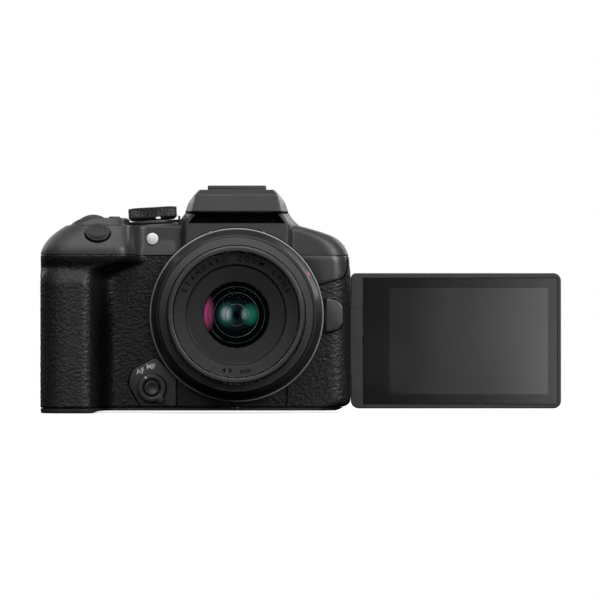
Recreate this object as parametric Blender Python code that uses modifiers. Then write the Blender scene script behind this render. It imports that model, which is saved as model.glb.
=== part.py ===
"""Mirrorless interchangeable-lens camera with a collapsible kit zoom, built as separate pieces.

X runs along the camera, with 0 on the optical axis. Y runs front to back, with 0 on the image
plane and the lens towards -Y. Z is up. Lengths are in millimetres, and at() turns them into
metres: heights here are above the foot of the grip, and the frame's origin is on the base plate,
BASE_STEP higher. The grip is at -X, and the vari-angle screen stands open at +X, facing -Y.
"""
import math

import bmesh
import bpy
from mathutils import Matrix, Vector

MM = 0.001
GAP = 0.3               # clearance between pieces that would touch
WALL = 1.8              # moulded wall thickness
SKIN = 1.0              # leatherette and trim on the front
BASE_STEP = 0.7         # base plate above the foot of the grip

# Body
BODY_RIGHT = 45.4
BODY_FRONT = -18.5
BODY_REAR = 16.0
BASE_TOP = 1.8          # upper face of the base plate
DECK_Z = 74.0           # top deck
RISE_Z = 77.0           # raised deck over the grip
SPLIT_Y = 6.0           # joint between the front and rear covers
HUMP_TOP = 88.4
HUMP_REAR = 22.0
FLASH_FRONT = -26.0     # face of the flash head
FLASH_FOOT = 79.5       # underside of the flash head
FLASH_REAR = -5.6       # back of the flash head
PLATE_Y = -21.8         # face of the hump below the flash head
RECESS_Y = -19.5        # back of the recess between the two
HUMP_SPLIT = -5.0       # front of the fixed part of the hump
HUMP_FACE = 20.3        # half width of the flat face at the foot of the hump
HUMP_CHEEK = 11.0       # depth of the cheeks that flare back from the face
NECK_FACE = 17.9        # half width of the flat face under the flash head
EYE_Z = 71.5            # viewfinder axis

# Lens, about the optical axis
AXIS_Z = 38.6
FLANGE_T = 20.0         # mount face, ahead of the image plane
BARREL_R = 34.5
INNER_R = 26.9          # sliding inner barrel
FRONT_T = 64.3          # front rim
GLASS_R = 12.6

# Vari-angle screen
SWING_X = 45.0
HINGE_Y = 12.5
TILT_Z = 28.35
SCREEN_LEFT = 46.2
SCREEN_RIGHT = 130.3
SCREEN_LOW = 1.1
SCREEN_HIGH = 55.6
SCREEN_FRONT = 9.5
SCREEN_BACK = 15.5
NOTCH_X = 50.7          # right side of the notch for the hinge arm
ARM_HALF = 13.5         # half the height of the hinge arm
RECESS = ((-40.8, 9.2, 0.5), (46.5, 20.0, 56.0))

# Controls
SHUTTER_AT = (-54.5, -42.0, 70.6)
SHUTTER_TILT = math.radians(44.0)
MODE_AT = (-33.4, -6.0, 75.1)
MODE_TILT = math.radians(3.5)
MODE_R = 9.8
COLLAR_R = 10.9         # power lever round the foot of the mode dial
MAIN_DIAL_AT = (-56.5, -30.0, 69.9)
MAIN_DIAL_R = 8.4
QUICK_AT = (-57.5, 6.5)
QUICK_R = 7.8
LEVER_AT = (-33.6, 9.7)
PAD_AT = (-58.0, 27.0)
FLASH_HINGE = (-6.0, 87.9)
LAMP_AT = (-33.5, 68.9)
PAD_R = 9.3
TRIPOD_Y = -9.0
SEAM_X = 20.0           # seam between the two leatherettes, under the lens
# Buttons by name: (x, z, radius) on the back, (x, y, radius) on the top
JOYSTICK = (-50.5, 53.5, 3.6)
REAR_BUTTONS = {
    "info_button": (-47.5, 41.0, 2.5),
    "play_button": (-58.0, 11.0, 2.5),
}
TOP_REAR_BUTTONS = {
    "af_on_button": (-50.5, 67.5, 3.0),
    "menu_button": (34.0, 67.0, 2.8),
}
TOP_BUTTONS = {"m_fn_button": (-48.4, -22.5, 2.3), "movie_button": (-46.6, 8.0, 2.5)}
# Strap lugs, and the heights that the port covers span
LUGS = {"strap_lug_left": (-74.4, -8.0, 67.6), "strap_lug_right": (42.2, -2.0, 66.0)}
PORTS = {"port_cover_upper": (33.5, 51.0), "port_cover_lower": (13.0, 32.5)}
PORT_Y = (-8.6, 4.4)

# Plan of the body by height: (z, x) or (z, y) stations joined by straight lines
LEFT_EDGE = ((0.0, -77.1), (1.0, -77.7), (63.8, -77.7), (68.5, -74.6), (71.5, -71.4), (74.0, -67.5))
RIGHT_EDGE = ((0.0, 37.0), (1.0, 39.5), (2.5, 43.6), (4.5, 45.4), (55.0, 45.4), (62.2, 44.7),
              (65.7, 43.3), (68.9, 40.7), (70.9, 36.9), (72.3, 32.0), (74.0, 26.0))
NOSE_EDGE = ((0.0, -46.2), (1.0, -47.0), (52.0, -47.0), (57.0, -45.6), (60.5, -47.0),
             (65.8, -47.0), (70.6, -42.0), (74.0, -38.5))
LOBE_EDGE = ((0.0, -56.5), (54.0, -56.5), (57.0, -52.5), (58.8, -43.5), (60.5, -41.5),
             (63.0, -41.5), (74.0, -43.0))
HOLLOW_EDGE = ((0.0, -52.0), (54.0, -52.0), (57.0, -48.0), (58.8, -40.5), (60.5, -39.5),
               (74.0, -39.5))
HUMP_EDGE = ((72.0, 26.8), (74.0, 25.1), (76.0, 22.7), (78.4, 20.9), (80.8, 19.8), (83.3, 19.1),
             (87.0, 16.3), (88.4, 14.8))
COVER_LEVELS = (2.1, 4.5, 52.0, 54.0, 57.0, 58.8, 60.5, 62.4)
RISE_EDGE = ((73.0, -66.6), (75.2, -64.8), (76.5, -62.2), (77.0, -61.0))
TOP_LEVELS = (62.7, 65.8, 68.5, 70.6, 72.3, 74.0)

# Outlines on the front, as (x, z, radius) corners, and of the battery door, as (x, y, radius)
BADGE_CORNERS = ((22.0, 62.3, 0.5), (31.0, 50.4, 0.5), (42.4, 53.6, 3.0), (43.7, 57.0, 2.0),
                 (43.7, 62.3, 1.0))
SWITCH_CORNERS = ((-24.0, 2.4, 0.8), (-24.0, 14.0, 3.0), (-32.0, 22.0, 2.0), (-41.6, 16.9, 4.0),
                  (-43.2, 11.2, 6.0), (-38.0, 2.4, 1.5))
RELEASE_CORNERS = ((35.2, 31.6, 0.8), (40.0, 32.6, 1.5), (42.2, 35.0, 2.0), (42.2, 41.8, 2.0),
                   (40.0, 44.4, 1.5), (35.2, 45.4, 0.8))
DOOR_CORNERS = ((-75.2, 9.8, 2.5), (-75.2, -41.0, 7.0), (-59.2, -41.0, 3.0), (-59.2, -15.4, 1.5),
                (-53.0, -15.4, 1.5), (-53.0, 9.8, 2.5))

# Finishes: colour, roughness, metallic
FINISHES = {
    "black_shell": ((0.022, 0.022, 0.024), 0.48, 0.0),
    "leatherette": ((0.012, 0.012, 0.013), 0.72, 0.0),
    "black_rubber": ((0.014, 0.014, 0.015), 0.80, 0.0),
    "gloss_black": ((0.010, 0.010, 0.011), 0.18, 0.0),
    "dark_metal": ((0.060, 0.060, 0.064), 0.38, 0.9),
    "bright_metal": ((0.62, 0.62, 0.63), 0.28, 1.0),
    "alloy_frame": ((0.35, 0.35, 0.36), 0.45, 1.0),
    "coated_glass": ((0.020, 0.030, 0.035), 0.04, 0.0),
    "white_lamp": ((0.85, 0.85, 0.85), 0.25, 0.0),
    "circuit": ((0.02, 0.10, 0.05), 0.55, 0.0),
    "cell_case": ((0.05, 0.05, 0.055), 0.60, 0.0),
}


def start_collections():
    """Empty the scene and make one collection for the camera and one for its cutters."""
    for thing in list(bpy.data.objects):
        bpy.data.objects.remove(thing, do_unlink=True)
    made = []
    for name in ("camera", "cutters"):
        group = bpy.data.collections.new(name)
        bpy.context.scene.collection.children.link(group)
        made.append(group)
    return made


CAMERA, CUTTERS = start_collections()
MATERIALS = {}


def material(name):
    """The Principled material for one of the finishes."""
    if name not in MATERIALS:
        colour, roughness, metallic = FINISHES[name]
        made = bpy.data.materials.new(name)
        made.use_nodes = True
        shader = made.node_tree.nodes["Principled BSDF"]
        shader.inputs["Base Color"].default_value = (*colour, 1.0)
        shader.inputs["Roughness"].default_value = roughness
        shader.inputs["Metallic"].default_value = metallic
        MATERIALS[name] = made
    return MATERIALS[name]


def at(*point):
    """A point in the frame, in metres, from millimetres above the foot of the grip."""
    x, y, z = point
    return Vector((x, y, z - BASE_STEP)) * MM


def level(stations, z):
    """Straight-line reading of (z, value) stations."""
    if z <= stations[0][0]:
        return stations[0][1]
    for (z0, v0), (z1, v1) in zip(stations, stations[1:]):
        if z <= z1:
            return v0 + (v1 - v0) * (z - z0) / (z1 - z0)
    return stations[-1][1]


# ---------------------------------------------------------------- shapes

def link(name, mesh):
    """An object for a mesh, first kept with the cutters until it is finished as a part."""
    made = bpy.data.objects.new(name, mesh)
    CUTTERS.objects.link(made)
    made.hide_render = True
    made.display_type = "WIRE"
    return made


def from_bmesh(name, shape):
    """A mesh object with its faces pointing out."""
    bmesh.ops.recalc_face_normals(shape, faces=shape.faces)
    mesh = bpy.data.meshes.new(name)
    shape.to_mesh(mesh)
    shape.free()
    return link(name, mesh)


def block(name, low, high, bevel=0.0, segments=1):
    """A box between two corners, with its edges bevelled."""
    low = at(*low)
    high = at(*high)
    shape = bmesh.new()
    bmesh.ops.create_cube(shape, size=1.0)
    bmesh.ops.scale(shape, vec=high - low, verts=shape.verts)
    bmesh.ops.translate(shape, vec=(high + low) / 2.0, verts=shape.verts)
    made = from_bmesh(name, shape)
    if bevel:
        round_edges(made, bevel, segments)
    return made


def round_edges(target, width, segments=1, angle=35.0):
    """A Bevel modifier on the edges sharper than an angle."""
    bevel = target.modifiers.new("edges", "BEVEL")
    bevel.width = width * MM
    bevel.segments = segments
    bevel.limit_method = "ANGLE"
    bevel.angle_limit = math.radians(angle)


def rod(name, start, end, radius, end_radius=None, steps=24):
    """A cylinder or cone frustum between two points."""
    start = at(*start)
    end = at(*end)
    run = end - start
    shape = bmesh.new()
    bmesh.ops.create_cone(shape, cap_ends=True, segments=steps, radius1=radius * MM,
                          radius2=(radius if end_radius is None else end_radius) * MM,
                          depth=run.length)
    turn = run.normalized().to_track_quat("Z", "Y").to_matrix().to_4x4()
    bmesh.ops.transform(shape, matrix=Matrix.Translation((start + end) / 2.0) @ turn,
                        verts=shape.verts)
    return from_bmesh(name, shape)


def turned(name, outline, steps=32):
    """A turned piece about the lens axis, from (radius, distance) points, outer side first.

    The distance runs towards -Y, out of the front of the lens, from the image plane.
    """
    mesh = bpy.data.meshes.new(name)
    points = [(r * MM, 0.0, t * MM) for r, t in outline]
    edges = [(i, i + 1) for i in range(len(points) - 1)]
    if outline[0][0] > 0.0:
        edges.append((len(points) - 1, 0))
    mesh.from_pydata(points, edges, [])
    made = link(name, mesh)
    screw = made.modifiers.new("turned", "SCREW")
    screw.steps = steps
    screw.render_steps = steps
    screw.use_merge_vertices = True
    screw.merge_threshold = 0.00001
    made.location = at(0.0, 0.0, AXIS_Z)
    made.rotation_euler = (math.pi / 2.0, 0.0, 0.0)
    return made


def rounded(corners, steps=4):
    """Outline points for (x, y, radius) corners, each corner an arc of the same number of points."""
    points = []
    count = len(corners)
    for i, (x, y, radius) in enumerate(corners):
        here = Vector((x, y))
        back = Vector(corners[i - 1][:2]) - here
        ahead = Vector(corners[(i + 1) % count][:2]) - here
        half = back.angle(ahead) / 2.0
        reach = min(radius / math.tan(half), 0.49 * back.length, 0.49 * ahead.length)
        radius = reach * math.tan(half)
        middle = here + (back.normalized() + ahead.normalized()).normalized() * (
            radius / math.sin(half))
        first = here + back.normalized() * reach - middle
        last = here + ahead.normalized() * reach - middle
        sweep = first.angle_signed(last) * -1.0
        for k in range(steps + 1):
            spin = sweep * k / steps
            arm = Vector((first.x * math.cos(spin) - first.y * math.sin(spin),
                          first.x * math.sin(spin) + first.y * math.cos(spin)))
            points.append(middle + arm)
    return points


def plate(name, outline, low, high, facing="Z"):
    """A flat outline extruded between two heights.

    Facing Z takes (x, y) points and heights in z. Facing Y takes (x, z) points and heights in y.
    """
    curve = bpy.data.curves.new(name, "CURVE")
    curve.dimensions = "2D"
    curve.fill_mode = "BOTH"
    curve.extrude = abs(high - low) / 2.0 * MM
    spline = curve.splines.new("POLY")
    spline.points.add(len(outline) - 1)
    for point, (x, y) in zip(spline.points, outline):
        point.co = (x * MM, y * MM, 0.0, 1.0)
    spline.use_cyclic_u = True
    draft = link(name + "_outline", curve)
    middle = (low + high) / 2.0
    if facing == "Z":
        draft.matrix_world = Matrix.Translation(at(0.0, 0.0, middle))
    else:
        draft.matrix_world = (Matrix.Translation(at(0.0, middle, 0.0))
                              @ Matrix.Rotation(math.pi / 2.0, 4, "X"))
    bpy.context.view_layer.update()
    seen = draft.evaluated_get(bpy.context.evaluated_depsgraph_get())
    mesh = bpy.data.meshes.new_from_object(seen)
    mesh.transform(draft.matrix_world)
    bpy.data.objects.remove(draft, do_unlink=True)
    shape = bmesh.new()
    shape.from_mesh(mesh)
    bmesh.ops.remove_doubles(shape, verts=shape.verts, dist=0.00001)
    bmesh.ops.dissolve_limit(shape, angle_limit=0.0001, verts=shape.verts, edges=shape.edges)
    bpy.data.meshes.remove(mesh)
    return from_bmesh(name, shape)


def loft(name, sections):
    """A closed skin through (z, outline) sections with equal point counts."""
    shape = bmesh.new()
    rings = []
    for z, outline in sections:
        rings.append([shape.verts.new(at(x, y, z)) for x, y in outline])
    count = len(rings[0])
    for low, high in zip(rings, rings[1:]):
        for i in range(count):
            j = (i + 1) % count
            shape.faces.new((low[i], low[j], high[j], high[i]))
    shape.faces.new(list(reversed(rings[0])))
    shape.faces.new(rings[-1])
    return from_bmesh(name, shape)


def boolean(target, operation, others):
    """Boolean modifiers on a target, one for each other object."""
    for other in others:
        step = target.modifiers.new(operation.lower(), "BOOLEAN")
        step.operation = operation
        step.solver = "EXACT"
        step.object = other
    return target


def cut(target, *others):
    """Cut the others from the target."""
    return boolean(target, "DIFFERENCE", others)


def join(target, *others):
    """Unite the others with the target."""
    return boolean(target, "UNION", others)


def keep(target, region):
    """Keep what lies inside a region."""
    return boolean(target, "INTERSECT", (region,))


def part(target, finish, origin=None):
    """Turn a shape into a finished part, with its origin on its joint where it has one."""
    CUTTERS.objects.unlink(target)
    CAMERA.objects.link(target)
    target.hide_render = False
    target.display_type = "TEXTURED"
    target.data.materials.append(material(finish))
    target.data.shade_smooth()
    target.data.set_sharp_from_angle(angle=math.radians(35.0))
    if origin:
        point = at(*origin)
        target.data.transform(Matrix.Translation(target.location - point))
        target.location = point
    return target


# ---------------------------------------------------------------- body outlines

def inset_corners(corners, inset):
    """Move every side of an anticlockwise outline inwards, keeping its corner arcs concentric."""
    moved = []
    count = len(corners)
    for i, (x, y, radius) in enumerate(corners):
        here = Vector((x, y))
        before = (here - Vector(corners[i - 1][:2])).normalized()
        after = (Vector(corners[(i + 1) % count][:2]) - here).normalized()
        normals = Vector((-before.y, before.x)) + Vector((-after.y, after.x))
        point = here + normals * inset / (1.0 + before.dot(after))
        turn = 1.0 if before.x * after.y - before.y * after.x > 0.0 else -1.0
        moved.append((point.x, point.y, max(0.3, radius - inset * turn)))
    return moved


def body_plan(z, inset=0.0):
    """Outline of the body at a height, with the grip lobe and the finger hollow beside it."""
    left = level(LEFT_EDGE, z)
    right = level(RIGHT_EDGE, z)
    nose = level(NOSE_EDGE, z)
    lobe = level(LOBE_EDGE, z)
    hollow = level(HOLLOW_EDGE, z)
    corners = ((left, BODY_REAR, 6.0), (left, nose, 13.0), (lobe, nose, 6.0),
               (hollow, BODY_FRONT, 5.0), (right, BODY_FRONT, 9.0), (right, BODY_REAR, 4.0))
    return rounded(inset_corners(corners, inset), 3)


def body(name, levels, inset=0.0, low=None, high=None):
    """The body between levels, drawn in by an inset; low and high stretch its two ends."""
    sections = [[z, body_plan(z, inset)] for z in levels]
    if low is not None:
        sections[0][0] = low
    if high is not None:
        sections[-1][0] = high
    return loft(name, sections)


def hump_plan(z, front, rear, face, cheek):
    """Outline of the viewfinder hump at a height: a flat face, then cheeks that flare back."""
    half = level(HUMP_EDGE, z)
    corners = ((-half, rear, 3.0), (-half, front + cheek, 3.0), (-face, front, 1.2),
               (face, front, 1.2), (half, front + cheek, 3.0), (half, rear, 3.0))
    return rounded(corners, 2)


# ---------------------------------------------------------------- lower body

def grip_step():
    """The space under the base plate, beside the deeper foot of the grip."""
    return block("grip_step", (-55.8, -60.0, -1.0), (60.0, 60.0, BASE_STEP))


def recess_space():
    """The well in the back that the closed screen fills."""
    return block("recess_space", *RECESS)


def make_base():
    """Base plate with the tripod bush, and the battery door in the foot of the grip."""
    base = body("base_plate", (0.0, 1.0, BASE_TOP))
    door_hole = plate("door_hole", rounded(inset_corners(DOOR_CORNERS, -GAP)), -1.0, 3.0)
    bush_hole = rod("bush_hole", (0, TRIPOD_Y, -1), (0, TRIPOD_Y, 4), 4.9)
    cut(base, grip_step(), recess_space(), door_hole, bush_hole)
    part(base, "black_shell")
    bush = rod("tripod_bush", (0, TRIPOD_Y, BASE_STEP), (0, TRIPOD_Y, 4.6), 4.6)
    cut(bush, rod("tripod_hole", (0, TRIPOD_Y, 0), (0, TRIPOD_Y, 6), 3.2))
    part(bush, "bright_metal")
    door = plate("battery_door", rounded(DOOR_CORNERS), 0.0, 1.5)
    cut(door, grip_step())
    part(door, "black_shell", (-53.0, -16.0, BASE_STEP))


def outline_block(name, corners, grow, low, high):
    """An (x, z) outline, grown by a margin, as a block between two y positions."""
    return plate(name, rounded(grown(corners, grow)), low, high, "Y")


def grown(corners, margin):
    """Corners with the sides moved out by a margin, whichever way round they run."""
    area = sum(a[0] * b[1] - b[0] * a[1] for a, b in zip(corners, (*corners[1:], corners[0])))
    return inset_corners(corners, -margin if area > 0.0 else margin)


def skin(name):
    """The outer layer of the front, from the base plate to the top cover."""
    layer = body(name, COVER_LEVELS)
    core = body(name + "_core", COVER_LEVELS, SKIN, 1.0, 63.5)
    behind = block(name + "_behind", (-90, SPLIT_Y - GAP / 2, -5), (60, 40, 70))
    throat = rod(name + "_throat", (0, -60, AXIS_Z), (0, 0, AXIS_Z), 33.8, steps=32)
    return cut(layer, core, behind, throat)


def port_space(name, low, high, grow=0.0):
    """The block that a port cover fills in the side."""
    return block(name, (40.0, PORT_Y[0] - grow, low - grow), (50.0, PORT_Y[1] + grow, high + grow))


def make_skins():
    """Leatherette and trim on the front: grip, switch plate, side, badge plate, port covers."""
    grip = skin("grip_cover")
    cut(grip, block("grip_limit", (SEAM_X - GAP / 2, -60, -5), (60, 60, 70)),
        outline_block("switch_hole", SWITCH_CORNERS, GAP, -30, -10))
    part(grip, "leatherette")
    side = skin("side_cover")
    cut(side, block("side_limit", (-90, -60, -5), (SEAM_X + GAP / 2, 60, 70)),
        outline_block("badge_hole", BADGE_CORNERS, 0.4, -30, 0),
        outline_block("release_hole", RELEASE_CORNERS, GAP, -30, 0))
    for name, (low, high) in PORTS.items():
        cut(side, port_space(name + "_hole", low, high, GAP))
    part(side, "leatherette")
    badge = keep(skin("badge_plate"), outline_block("badge_area", BADGE_CORNERS, 0, -30, 0))
    part(badge, "black_shell")
    switch = outline_block("switch_plate", SWITCH_CORNERS, 0, BODY_FRONT, BODY_FRONT + SKIN)
    cut(switch, rod("switch_bore", (LEVER_AT[0], -30, LEVER_AT[1]),
                    (LEVER_AT[0], 0, LEVER_AT[1]), 3.4))
    part(switch, "black_shell")
    for name, (low, high) in PORTS.items():
        cover = keep(skin(name), port_space(name + "_area", low, high))
        part(cover, "black_rubber", (BODY_RIGHT, PORT_Y[0], (low + high) / 2.0))


def make_front():
    """Front cover with the mount bezel, under the leatherette."""
    depth = SKIN + GAP
    front = body("front_shell", COVER_LEVELS, depth)
    bezel = turned("bezel", ((33.5, 19.6), (33.5, 16.2), (28.0, 16.2), (28.0, 19.6)))
    join(front, bezel)
    cavity = body("front_cavity", COVER_LEVELS, depth + WALL, 1.0, 63.5)
    behind = block("front_behind", (-90, SPLIT_Y - GAP / 2, -5), (60, 40, 70))
    throat = rod("front_throat", (0, -60, AXIS_Z), (0, 0, AXIS_Z), 29.3, steps=32)
    ports = block("port_window", (40.0, -7.6, 14.0), (50.0, 3.4, 50.0))
    release = outline_block("release_space", RELEASE_CORNERS, GAP, -30, -5)
    bore = rod("preview_bore", (LEVER_AT[0], -30, LEVER_AT[1]), (LEVER_AT[0], -5, LEVER_AT[1]), 3.4)
    cut(front, cavity, behind, throat, ports, release, bore)
    part(front, "black_shell")


def rear_rod(name, x, z, radius, low, high, end_radius=None, steps=20):
    """A rod along Y at a place on the back."""
    return rod(name, (x, low, z), (x, high, z), radius, end_radius, steps)


def make_rear():
    """Rear cover with the screen well and the holes for the controls."""
    rear = body("rear_shell", COVER_LEVELS)
    ahead = block("rear_ahead", (-90, -60, -5), (60, SPLIT_Y + GAP / 2, 70))
    cavity = body("rear_cavity", COVER_LEVELS, WALL, 1.0, 63.5)
    cut(cavity, block("well_wall", (-42.6, RECESS[0][1] - WALL, -5), (60, 40, 70)))
    cut(rear, ahead, recess_space(), cavity)
    for name, (x, z, radius) in {**REAR_BUTTONS, "joystick": JOYSTICK}.items():
        cut(rear, rear_rod(name + "_bore", x, z, radius + GAP, 8, 20))
    cut(rear, rear_rod("pad_bore", PAD_AT[0], PAD_AT[1], PAD_R + GAP, 8, 20, steps=32))
    part(rear, "black_shell")
    rest = block("thumb_rest", (-74.5, BODY_REAR + GAP, 37.0), (-62.5, 19.6, 60.5), 2.6, 3)
    part(rest, "leatherette")


# ---------------------------------------------------------------- top


def rise_plan(z):
    """Outline of the raised deck over the grip at a height."""
    left = level(RISE_EDGE, z)
    front = -36.4 + 0.4 * (left - RISE_EDGE[0][1])
    corners = ((left, 14.6, 4.0), (left, front, 7.0), (-44.8, front, 5.0), (-43.0, -16.8, 2.0),
               (-43.0, 14.6, 2.0))
    return rounded(corners, 3)


def mode_point(distance):
    """A point on the mode dial's axis, which leans towards the grip."""
    x, y, z = MODE_AT
    return (x - distance * math.sin(MODE_TILT), y, z + distance * math.cos(MODE_TILT))


def shutter_point(distance):
    """A point on the shutter button's axis, a distance above the slope it sits in."""
    x, y, z = SHUTTER_AT
    return (x, y - distance * math.sin(SHUTTER_TILT), z + distance * math.cos(SHUTTER_TILT))


def make_top():
    """Top cover: shoulder, raised deck, viewfinder hump, and the wells for the controls."""
    top = body("top_shell", TOP_LEVELS)
    rise = loft("rise", [(z, rise_plan(z)) for z, _ in RISE_EDGE])
    boss = rod("mode_boss", mode_point(-2.0), mode_point(-GAP), COLLAR_R + 0.9, steps=48)
    foot = loft("hump_foot", [(z, hump_plan(z, PLATE_Y, HUMP_REAR, HUMP_FACE, HUMP_CHEEK))
                              for z in (64.0, 72.0, 74.0, 75.0)])
    neck_faces = ((74.5, HUMP_FACE), (76.0, 19.8), (FLASH_FOOT - GAP, NECK_FACE))
    neck = loft("hump_neck", [(z, hump_plan(z, PLATE_Y, HUMP_REAR, face, HUMP_CHEEK))
                              for z, face in neck_faces])
    back = loft("hump_back", [
        (z, hump_plan(z, HUMP_SPLIT, HUMP_REAR, level(HUMP_EDGE, z) - 0.8, 0.8))
        for z in (78.9, 80.8, 83.3, 87.0, HUMP_TOP)])
    house = block("eye_house", (-17.5, 8.0, 63.4), (17.5, HUMP_REAR, 80.0), 1.5)
    join(top, rise, boss, foot, neck, back, house)
    cavity = body("top_cavity", TOP_LEVELS[:-1], WALL, 61.5, DECK_Z - WALL)
    tunnel = block("eye_tunnel", (-14.0, -3.0, 63.6 + WALL), (14.0, HUMP_REAR - WALL, 84.0))
    window = block("eye_window", (-11.0, 15.0, EYE_Z - 7.6), (11.0, 30.0, EYE_Z + 7.6))
    shoe_well = block("shoe_well", (-12.0, -4.3, 86.9), (12.0, 30.0, 95.0))
    recess = loft("flash_recess", [
        (z, ((-half, -30), (half, -30), (half, RECESS_Y), (-half, RECESS_Y)))
        for z, half in ((75.0, 19.4), (FLASH_FOOT, 15.6))])
    mode_well = rod("mode_well", mode_point(-GAP), mode_point(6.0), COLLAR_R + GAP, steps=48)
    lamp = rod("lamp_bore", (LAMP_AT[0], -30, LAMP_AT[1]), (LAMP_AT[0], -10, LAMP_AT[1]), 2.7)
    shutter = rod("shutter_bore", shutter_point(-9), shutter_point(9), 5.2, steps=32)
    x, y, z = MAIN_DIAL_AT
    dial = rod("main_dial_well", (x, y - 3.3, z), (x, y + 3.3, z), MAIN_DIAL_R + GAP, steps=48)
    quick = rod("quick_dial_well", (*QUICK_AT, 72.0), (*QUICK_AT, 80.0), QUICK_R + GAP, steps=40)
    quick_side = block("quick_dial_side", (QUICK_AT[0] - 5.0, QUICK_AT[1], 72.0),
                       (QUICK_AT[0] + 5.0, 20.0, 80.0))
    throat = rod("top_throat", (0, -60, AXIS_Z), (0, -15.5, AXIS_Z), BARREL_R + 0.4, steps=48)
    cut(top, cavity, tunnel, window, shoe_well, recess, mode_well, lamp, shutter, dial, quick,
        quick_side, throat)
    for name, (x, y, radius) in TOP_BUTTONS.items():
        cut(top, rod(name + "_bore", (x, y, 69.0), (x, y, 80.0), radius + GAP, steps=20))
    for name, (x, z, radius) in TOP_REAR_BUTTONS.items():
        cut(top, rear_rod(name + "_bore", x, z, radius + GAP, 8, 20))
    for name, (x, y, z) in LUGS.items():
        outward = math.copysign(8.0, x)
        cut(top, block(name + "_pocket", (min(x - outward / 4, x + outward), y - 4.5, z - 3.2),
                       (max(x - outward / 4, x + outward), y + 4.5, z + 3.2)))
        part(rod(name, (x, y - 4.2, z), (x, y + 4.2, z), 0.9, steps=12), "bright_metal")
    part(top, "black_shell")
    lamp = rod("af_lamp", (LAMP_AT[0], -15.0, LAMP_AT[1]), (LAMP_AT[0], -19.0, LAMP_AT[1]), 2.4)
    part(lamp, "white_lamp")


def make_viewfinder():
    """Viewfinder eyepiece and eyecup."""
    eyepiece = block("eyepiece_lens", (-10.6, 19.0, EYE_Z - 7.2), (10.6, 21.6, EYE_Z + 7.2), 2.5, 3)
    part(eyepiece, "coated_glass")
    cup_face = HUMP_REAR + GAP
    sections = []
    for y, half_x, half_z in ((cup_face, 15.6, 9.4), (29.0, 16.2, 10.0), (34.5, 18.0, 11.4),
                              (36.4, 17.2, 10.6)):
        corners = ((-half_x, -half_z, 5.0), (half_x, -half_z, 5.0), (half_x, half_z, 5.0),
                   (-half_x, half_z, 5.0))
        sections.append((y, rounded(corners)))
    cup = loft("eyecup", sections)
    cup.data.transform(Matrix.Translation(at(0, 0, EYE_Z))
                       @ Matrix.Rotation(-math.pi / 2.0, 4, "X")
                       @ Matrix.Translation(-at(0, 0, 0)))
    mouth = block("eyecup_mouth", (-11.6, 20.0, EYE_Z - 6.6), (11.6, 40.0, EYE_Z + 6.6), 2.0, 2)
    cut(cup, mouth)
    part(cup, "black_rubber")


def make_flash():
    """Pop-up flash head over the front of the hump, and the window under it."""
    sections = []
    for z, face_y, face_half in ((FLASH_FOOT, FLASH_FRONT, 17.7), (83.3, -25.8, 16.8),
                                 (86.6, -25.2, 15.9), (HUMP_TOP - 0.3, -22.8, 14.8),
                                 (HUMP_TOP, -20.5, 14.0)):
        half = level(HUMP_EDGE, z) - 0.2
        corners = ((-half, FLASH_REAR, 0.4), (-half, -15.0, 3.0), (-face_half, face_y, 1.2),
                   (face_half, face_y, 1.2), (half, -15.0, 3.0), (half, FLASH_REAR, 0.4))
        sections.append((z, rounded(corners, 2)))
    head = loft("flash_head", sections)
    pocket = block("flash_pocket", (-14.0, -24.0, 70.0), (14.0, -9.0, FLASH_FOOT + 4.5))
    cut(head, pocket)
    origin = (0.0, *FLASH_HINGE)
    part(head, "black_shell", origin)
    window = block("flash_window", (-13.7, -23.7, FLASH_FOOT), (13.7, -9.3, FLASH_FOOT + 1.6), 0.4)
    part(window, "coated_glass", origin)


def make_shoe():
    """Accessory shoe: a floor with two folded rails."""
    shoe = block("hot_shoe", (-11.7, -4.0, 87.2), (11.7, 16.0, 90.5), 0.4)
    slot = block("shoe_slot", (-9.4, -2.6, 87.9), (9.4, 30.0, 89.9))
    mouth = block("shoe_mouth", (-6.3, -2.6, 87.9), (6.3, 30.0, 95.0))
    part(cut(shoe, slot, mouth), "dark_metal")


def make_top_controls():
    """Shutter button, dials, power lever and the small buttons of the top deck."""
    part(rod("shutter_button", shutter_point(-5.0), shutter_point(1.0), 4.9, 4.6, 32),
         "black_shell", shutter_point(1.0))
    collar = rod("power_lever", mode_point(0.0), mode_point(1.1), COLLAR_R, steps=48)
    x, y, z = MODE_AT
    tab = block("lever_tab", (x + 10.1, y - 2.0, z + 0.2), (x + COLLAR_R, y + 2.0, z + 2.6))
    tab.matrix_world = (Matrix.Translation(at(*MODE_AT)) @ Matrix.Rotation(-MODE_TILT, 4, "Y")
                        @ Matrix.Translation(-at(*MODE_AT)))
    join(collar, tab)
    part(collar, "black_shell", MODE_AT)
    part(rod("mode_dial", mode_point(1.4), mode_point(6.5), MODE_R, steps=48), "black_shell",
         mode_point(1.4))
    x, y, z = MAIN_DIAL_AT
    part(rod("main_dial", (x, y + 3.0, z), (x, y - 3.0, z), MAIN_DIAL_R, steps=40),
         "black_shell", MAIN_DIAL_AT)
    part(rod("quick_dial", (*QUICK_AT, 72.3), (*QUICK_AT, 75.0), QUICK_R, steps=40),
         "black_shell", (*QUICK_AT, 72.3))
    for name, (x, y, radius) in TOP_BUTTONS.items():
        part(rod(name, (x, y, 73.1), (x, y, RISE_Z + 0.7), radius, steps=20), "black_shell",
             (x, y, RISE_Z))


# ---------------------------------------------------------------- controls on the front and back

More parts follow.
